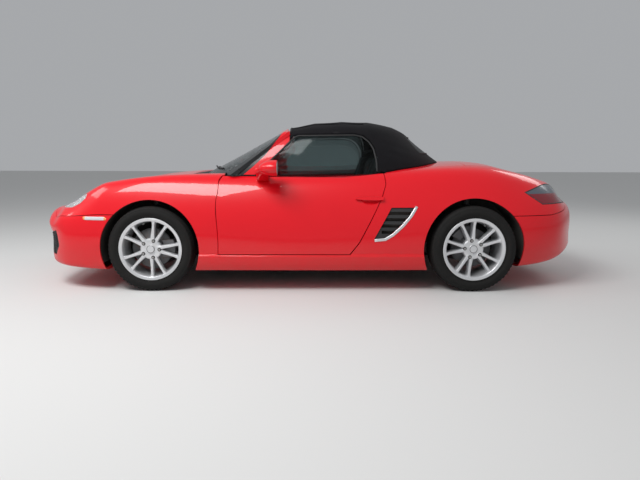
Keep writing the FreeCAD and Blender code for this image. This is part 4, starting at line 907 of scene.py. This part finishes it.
for side_name, side in SIDES:
    lens = piece(f"lamp_lens_{side_name}", lamp_skin(side, True), slots["lamp_clear"], "body")
    bucket = piece(f"lamp_bucket_{side_name}", lamp_skin(side, False), slots["alloy"], "body")
    for made, thickness, offset in ((lens, 0.003, -1), (bucket, 0.002, 1)):
        wall = made.modifiers.new("wall", "SOLIDIFY")
        wall.thickness, wall.offset = thickness, offset
    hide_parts("headlamps")
    aim = Vector((-0.80, side * 0.12, 0.35)).normalized()
    for index, (x, y, z, radius) in enumerate(LAMP_EYES, 1):
        centre = nose_place((x, side * y, z))
        shape = bmesh.new()
        ring(shape, [(0.0, 0.012), (radius * 0.55, 0.008), (radius * 0.78, 0.0),
                     (radius * 0.80, -0.012), (0.0, -0.012)], centre, 40, axis=aim,
             first=(0, 1, 0))
        piece(f"lamp_eye_{index}_{side_name}", shape, slots["lamp_clear"], "body")
        shape = bmesh.new()
        ring(shape, [(radius * 0.80, -0.010), (radius * 0.82, 0.002), (radius * 0.98, 0.006),
                     (radius, 0.002), (radius * 0.98, -0.016), (radius * 0.80, -0.010)],
             centre, 48, axis=aim, first=(0, 1, 0))
        piece(f"lamp_bowl_{index}_{side_name}", shape, slots["alloy"], "body")

# Mirrors

for side_name, side in SIDES:
    mirror, door = f"mirror_{side_name}", f"door_{side_name}"
    shell = piece(f"mirror_shell_{side_name}", copy_of(mirror), slots["paint"], door)
    shell.data.materials.append(slots["trim"])
    for face in shell.data.polygons:
        if abs(face.center.y) < 0.735 and face.center.z < 0.870:  # the foot
            face.material_index = 1
    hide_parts(mirror)
    shape = bmesh.new()
    middle = Vector((-0.2975, side * 0.8925, 0.922))
    rings = [[middle + Vector((depth, math.cos(a) * 0.084 * size, math.sin(a) * 0.049 * size))
              for a in (k * math.tau / 48 for k in range(48))]
             for depth, size in ((-0.004, 1.0), (0.0015, 1.0), (0.0015, 0.97))]
    loft(shape, rings)
    piece(f"mirror_glass_{side_name}", shape, slots["alloy"], door)

# Grilles of the nose

for row in range(9):
    z = 0.262 + row * 0.0185
    for side_name, side in SIDES:
        ends = (0.40, 0.66) if z < 0.30 else (0.36, 0.70)
        points = end_line("bumper_grille", 1, [(side * y, z) for y in ends], 0.0015)
        strip(f"intake_slat_{row + 1}_{side_name}", "bumper_grille", points, 0.006, 0.006,
              slots["trim"], "body")

# Tail pipes, each shut a few millimetres inside its lip by a black disc: soot, and painted shade
# standing in for the pipe's depth

lips, mouths = bmesh.new(), bmesh.new()
for y in (-0.044, 0.044):
    ring(lips, [(0.0385, -0.060), (0.0385, 0.003), (0.0370, 0.006), (0.0345, 0.004),
                (0.0345, 0.0012), (0.0005, 0.0012)], (2.133, y, 0.305), 48, axis=(1, 0, 0),
         first=(0, 1, 0))
    # black disc inside the lip: soot, and painted shade of the hollow pipe
    disc(mouths, (2.134, y, 0.305), (1, 0, 0), 0.0344, 0.003, 40)
piece("tail_pipe_lips", lips, slots["exhaust"], "body")
piece("tail_pipe_mouths", mouths, slots["trim"], "body")

# Rear brake calipers, a U round each disc

axle, plane, radius, _, _, bolting, _, _ = WHEELS["rear"]
for side_name, side in SIDES:
    shape = bmesh.new()
    ring(shape, [(0.102, 0.018), (0.168, 0.018), (0.170, 0.022), (0.170, 0.070), (0.102, 0.070),
                 (0.102, 0.061), (0.156, 0.061), (0.156, 0.027), (0.102, 0.027), (0.102, 0.018)],
         (axle, side * (plane + bolting), radius), 14, turn=58, axis=(0, -side, 0),
         first=(-0.9, 0, 0.55))
    bmesh.ops.holes_fill(shape, edges=shape.edges)
    piece(f"rear_caliper_{side_name}", shape, slots["cast"], "body", bevel=0.004)

# Seats


def soft_seat():
    """Left seat: the solid's form with round edges, its cover swollen by cloth simulation."""
    most = 0.008  # how far the cover may swell
    shape = copy_of("seats", -1)
    middle = Vector((0.12, -0.36, 0.55))
    for vert in shape.verts:
        vert.co -= (vert.co - middle).normalized() * 0.006
    seat = piece("seat_left_cover", shape, slots["seat"], "body")
    remesh = seat.modifiers.new("remesh", "REMESH")
    remesh.mode, remesh.voxel_size = "VOXEL", 0.008
    settle(seat)
    rounding = seat.modifiers.new("rounding", "SMOOTH")
    rounding.iterations, rounding.factor = 6, 0.5
    settle(seat)
    rest = [vert.co.copy() for vert in seat.data.vertices]
    cloth = seat.modifiers.new("cloth", "CLOTH")
    cloth.settings.use_pressure = True
    cloth.settings.uniform_pressure_force = 4
    cloth.settings.effector_weights.gravity = 0
    scene = bpy.context.scene
    cloth.point_cache.frame_start, cloth.point_cache.frame_end = 1, 14
    for frame_number in range(1, 15):
        scene.frame_set(frame_number)
    settle(seat)
    scene.frame_set(1)
    for vert, start in zip(seat.data.vertices, rest):
        move = vert.co - start
        if move.length > most:
            vert.co = start + move.normalized() * most
    for face in seat.data.polygons:
        face.use_smooth = True
    return seat


def twin_of(made, name, coat, body):
    """The same piece on the right side."""
    shape = bmesh.new()
    shape.from_mesh(made.data)
    flip(shape, 1)
    return piece(name, shape, coat, body)


left_seat = soft_seat()
skins["seat_cover"] = search_tree(left_seat.data)
right_seat = twin_of(left_seat, "seat_right_cover", slots["seat"], "body")
seams = []
for y in (-0.465, -0.255):
    seams.append(top_line("seat_cover", [(-0.27, y), (0.20, y)], 0.0005))
    seams.append(end_line("seat_cover", 1, [(y, 0.43), (y, 0.90)], 0.0005))
for x in (-0.12, 0.04):
    seams.append(top_line("seat_cover", [(x, -0.455), (x, -0.265)], 0.0005))
for z in (0.56, 0.70, 0.84):
    seams.append(end_line("seat_cover", 1, [(-0.455, z), (-0.265, z)], 0.0005))
for index, line in enumerate(seams, 1):
    seam = tube(f"seat_seam_{index}_left", line, 0.0022, slots["trim"], "body", 2)
    twin_of(seam, f"seat_seam_{index}_right", slots["trim"], "body")
for cover in (left_seat, right_seat):
    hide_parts("seats")

# Cabin

CARD_FACE = -0.6915


def box(name, low, high, coat, body, bevel, side=-1):
    """Block with round edges, given for the left side."""
    shape = bmesh.new()
    block(shape, low, high)
    flip(shape, side)
    piece(name, shape, coat, body, bevel=bevel)


for side_name, side in SIDES:
    # door card with its arm rest, speaker and pull
    door = f"door_{side_name}"
    box(f"door_card_{side_name}", (-0.655, -0.701, 0.352), (0.455, CARD_FACE, 0.815),
        slots["trim"], door, 0.003, side)
    box(f"arm_rest_{side_name}", (-0.38, -0.695, 0.585), (0.25, -0.640, 0.640), slots["seat"],
        door, 0.014, side)
    shape = bmesh.new()
    ring(shape, [(0.0, 0.004), (0.060, 0.005), (0.068, 0.008), (0.074, 0.004), (0.076, 0.0)],
         (-0.50, CARD_FACE, 0.46), 48)
    flip(shape, side)
    piece(f"speaker_{side_name}", shape, slots["trim"], door)
    tube(f"door_pull_{side_name}", [(-0.30, side * 0.672, 0.636), (-0.29, side * 0.662, 0.685),
                                    (-0.10, side * 0.662, 0.700), (0.06, side * 0.672, 0.636)],
         0.010, slots["trim"], door)

# dashboard: hood over the dials, dials, centre stack and vents
shape = bmesh.new()
ring(shape, [(0.150, -0.085), (0.160, 0.060), (0.157, 0.066), (0.149, 0.060), (0.142, -0.085)],
     (-0.560, -0.36, 0.815), 32, turn=180, axis=(1, 0, 0), first=(0, 1, 0))
for vert in shape.verts:
    vert.co.z = 0.815 + (vert.co.z - 0.815) * 0.62
piece("dial_hood", shape, slots["trim"], "body")
for index, (y, size) in enumerate(((-0.452, 0.036), (-0.36, 0.046), (-0.268, 0.036)), 1):
    shape = bmesh.new()
    ring(shape, [(0.0, 0.0), (size * 0.86, 0.0), (size * 0.90, 0.006), (size, 0.006),
                 (size * 1.02, -0.020)], (-0.515, y, 0.858), 40, axis=(1, 0, 0.2),
         first=(0, 1, 0))
    piece(f"dial_{index}", shape, slots["trim"], "body")
    shape = bmesh.new()
    for mark in range(11):
        angle = math.radians(225 - 27 * mark)
        out = Vector((-0.2 * math.sin(angle), math.cos(angle), math.sin(angle)))
        disc(shape, Vector((-0.5125, y, 0.858)) + out * size * 0.70, (1, 0, 0.2), 0.0022, 0.0016, 8)
    block(shape, (-0.5125, y - 0.0012, 0.856), (-0.5105, y + 0.0012, 0.856 + size * 0.6))
    piece(f"dial_marks_{index}", shape, slots["lamp_clear"], "body")
box("centre_stack", (-0.480, -0.098, 0.655), (-0.446, 0.098, 0.802), slots["trim"], "body", 0.005)
shape = bmesh.new()
block(shape, (-0.450, -0.080, 0.740), (-0.4445, 0.080, 0.792))
for y in (-0.060, -0.020, 0.020, 0.060):
    disc(shape, (-0.4425, y, 0.690), (1, 0, 0), 0.013, 0.012, 24)
piece("stack_controls", shape, slots["seat"], "body", bevel=0.0015)
for y in (-0.540, -0.160, 0.160, 0.540):
    shape = bmesh.new()
    ring(shape, [(0.034, -0.012), (0.040, 0.002), (0.043, 0.004), (0.046, -0.012)],
         (-0.462, y, 0.765), 40, axis=(1, 0, 0), first=(0, 1, 0))
    for z in (-0.020, -0.007, 0.007, 0.020):
        reach = math.sqrt(0.036 ** 2 - z * z)
        block(shape, (-0.470, y - reach, 0.765 + z - 0.0015),
              (-0.458, y + reach, 0.765 + z + 0.0015))
    piece(f"air_vent_{round(y * 1000)}", shape, slots["trim"], "body")
# gear lever
tube("gear_lever", [(-0.250, 0, 0.512), (-0.250, 0, 0.560), (-0.244, 0, 0.600)], 0.008,
     slots["exhaust"], "body")
shape = bmesh.new()
bmesh.ops.create_uvsphere(shape, u_segments=24, v_segments=16, radius=0.024,
                          matrix=Matrix.Translation((-0.243, 0, 0.612)))
piece("gear_knob", shape, slots["seat"], "body")
shape = bmesh.new()
disc(shape, (-0.250, 0, 0.528), (0, 0, 1), 0.052, 0.040, 32, 0.012)
piece("gear_boot", shape, slots["seat"], "body")
# pad of the steering wheel
WHEEL_AXIS = Vector((math.cos(math.radians(24)), 0, math.sin(math.radians(24))))
shape = bmesh.new()
ring(shape, [(0.0, 0.050), (0.030, 0.049), (0.055, 0.043), (0.070, 0.030), (0.074, 0.015),
             (0.066, 0.012), (0.0, 0.012)], (-0.380, -0.36, 0.79), 48, axis=WHEEL_AXIS,
     first=(0, 1, 0))
piece("steering_pad", shape, slots["trim"], "steering_wheel")

# Floor, light and camera

pale = finish("pale_floor", lambda: {"Base Color": (0.66, 0.66, 0.65), "Roughness": 0.95,
                                     "Specular IOR Level": 0.1})
bpy.ops.mesh.primitive_plane_add(size=60)
floor = bpy.context.object
floor.name = "floor"
floor.data.materials.append(pale)

world = bpy.data.worlds.new("studio")
bpy.context.scene.world = world
world.use_nodes = True
world.node_tree.nodes["Background"].inputs[0].default_value = (0.80, 0.82, 0.85, 1)
world.node_tree.nodes["Background"].inputs[1].default_value = 0.48


def lamp(name, size, power, spot, aim):
    light = bpy.data.lights.new(name, "AREA")
    light.shape = "RECTANGLE"
    light.size, light.size_y = size
    light.energy = power
    holder = bpy.data.objects.new(name, light)
    bpy.context.collection.objects.link(holder)
    holder.location = spot
    holder.rotation_euler = (Vector(aim) - Vector(spot)).to_track_quat("-Z", "Y").to_euler()


lamp("high_panel", (3.4, 2.0), 260, (-2.4, -3.4, 5.0), (0, 0, 0.4))
lamp("front_panel", (2.5, 1.6), 60, (-5.5, -1.0, 4.4), (-1, 0, 0.5))
lamp("rear_panel", (3, 2), 60, (5.2, 2.5, 4.6), (1, 0, 0.5))

# Fitted to the photo: heading, pitch 8.7 degrees below level, and roll
CAMERA_SPOT = (-0.063, -4.932, 1.016)
CAMERA_TURNS = ((-1.08, "Z"), (90 - 8.70, "X"), (0.18, "Z"))
camera = bpy.data.objects.new("camera", bpy.data.cameras.new("camera"))
bpy.context.collection.objects.link(camera)
camera.data.sensor_width, camera.data.lens = 36, 31.22
view = Matrix.Translation(CAMERA_SPOT)
for angle, axis in CAMERA_TURNS:
    view = view @ Matrix.Rotation(math.radians(angle), 4, axis)
camera.matrix_world = view
bpy.context.scene.camera = camera
bpy.context.scene.view_settings.view_transform = "Standard"
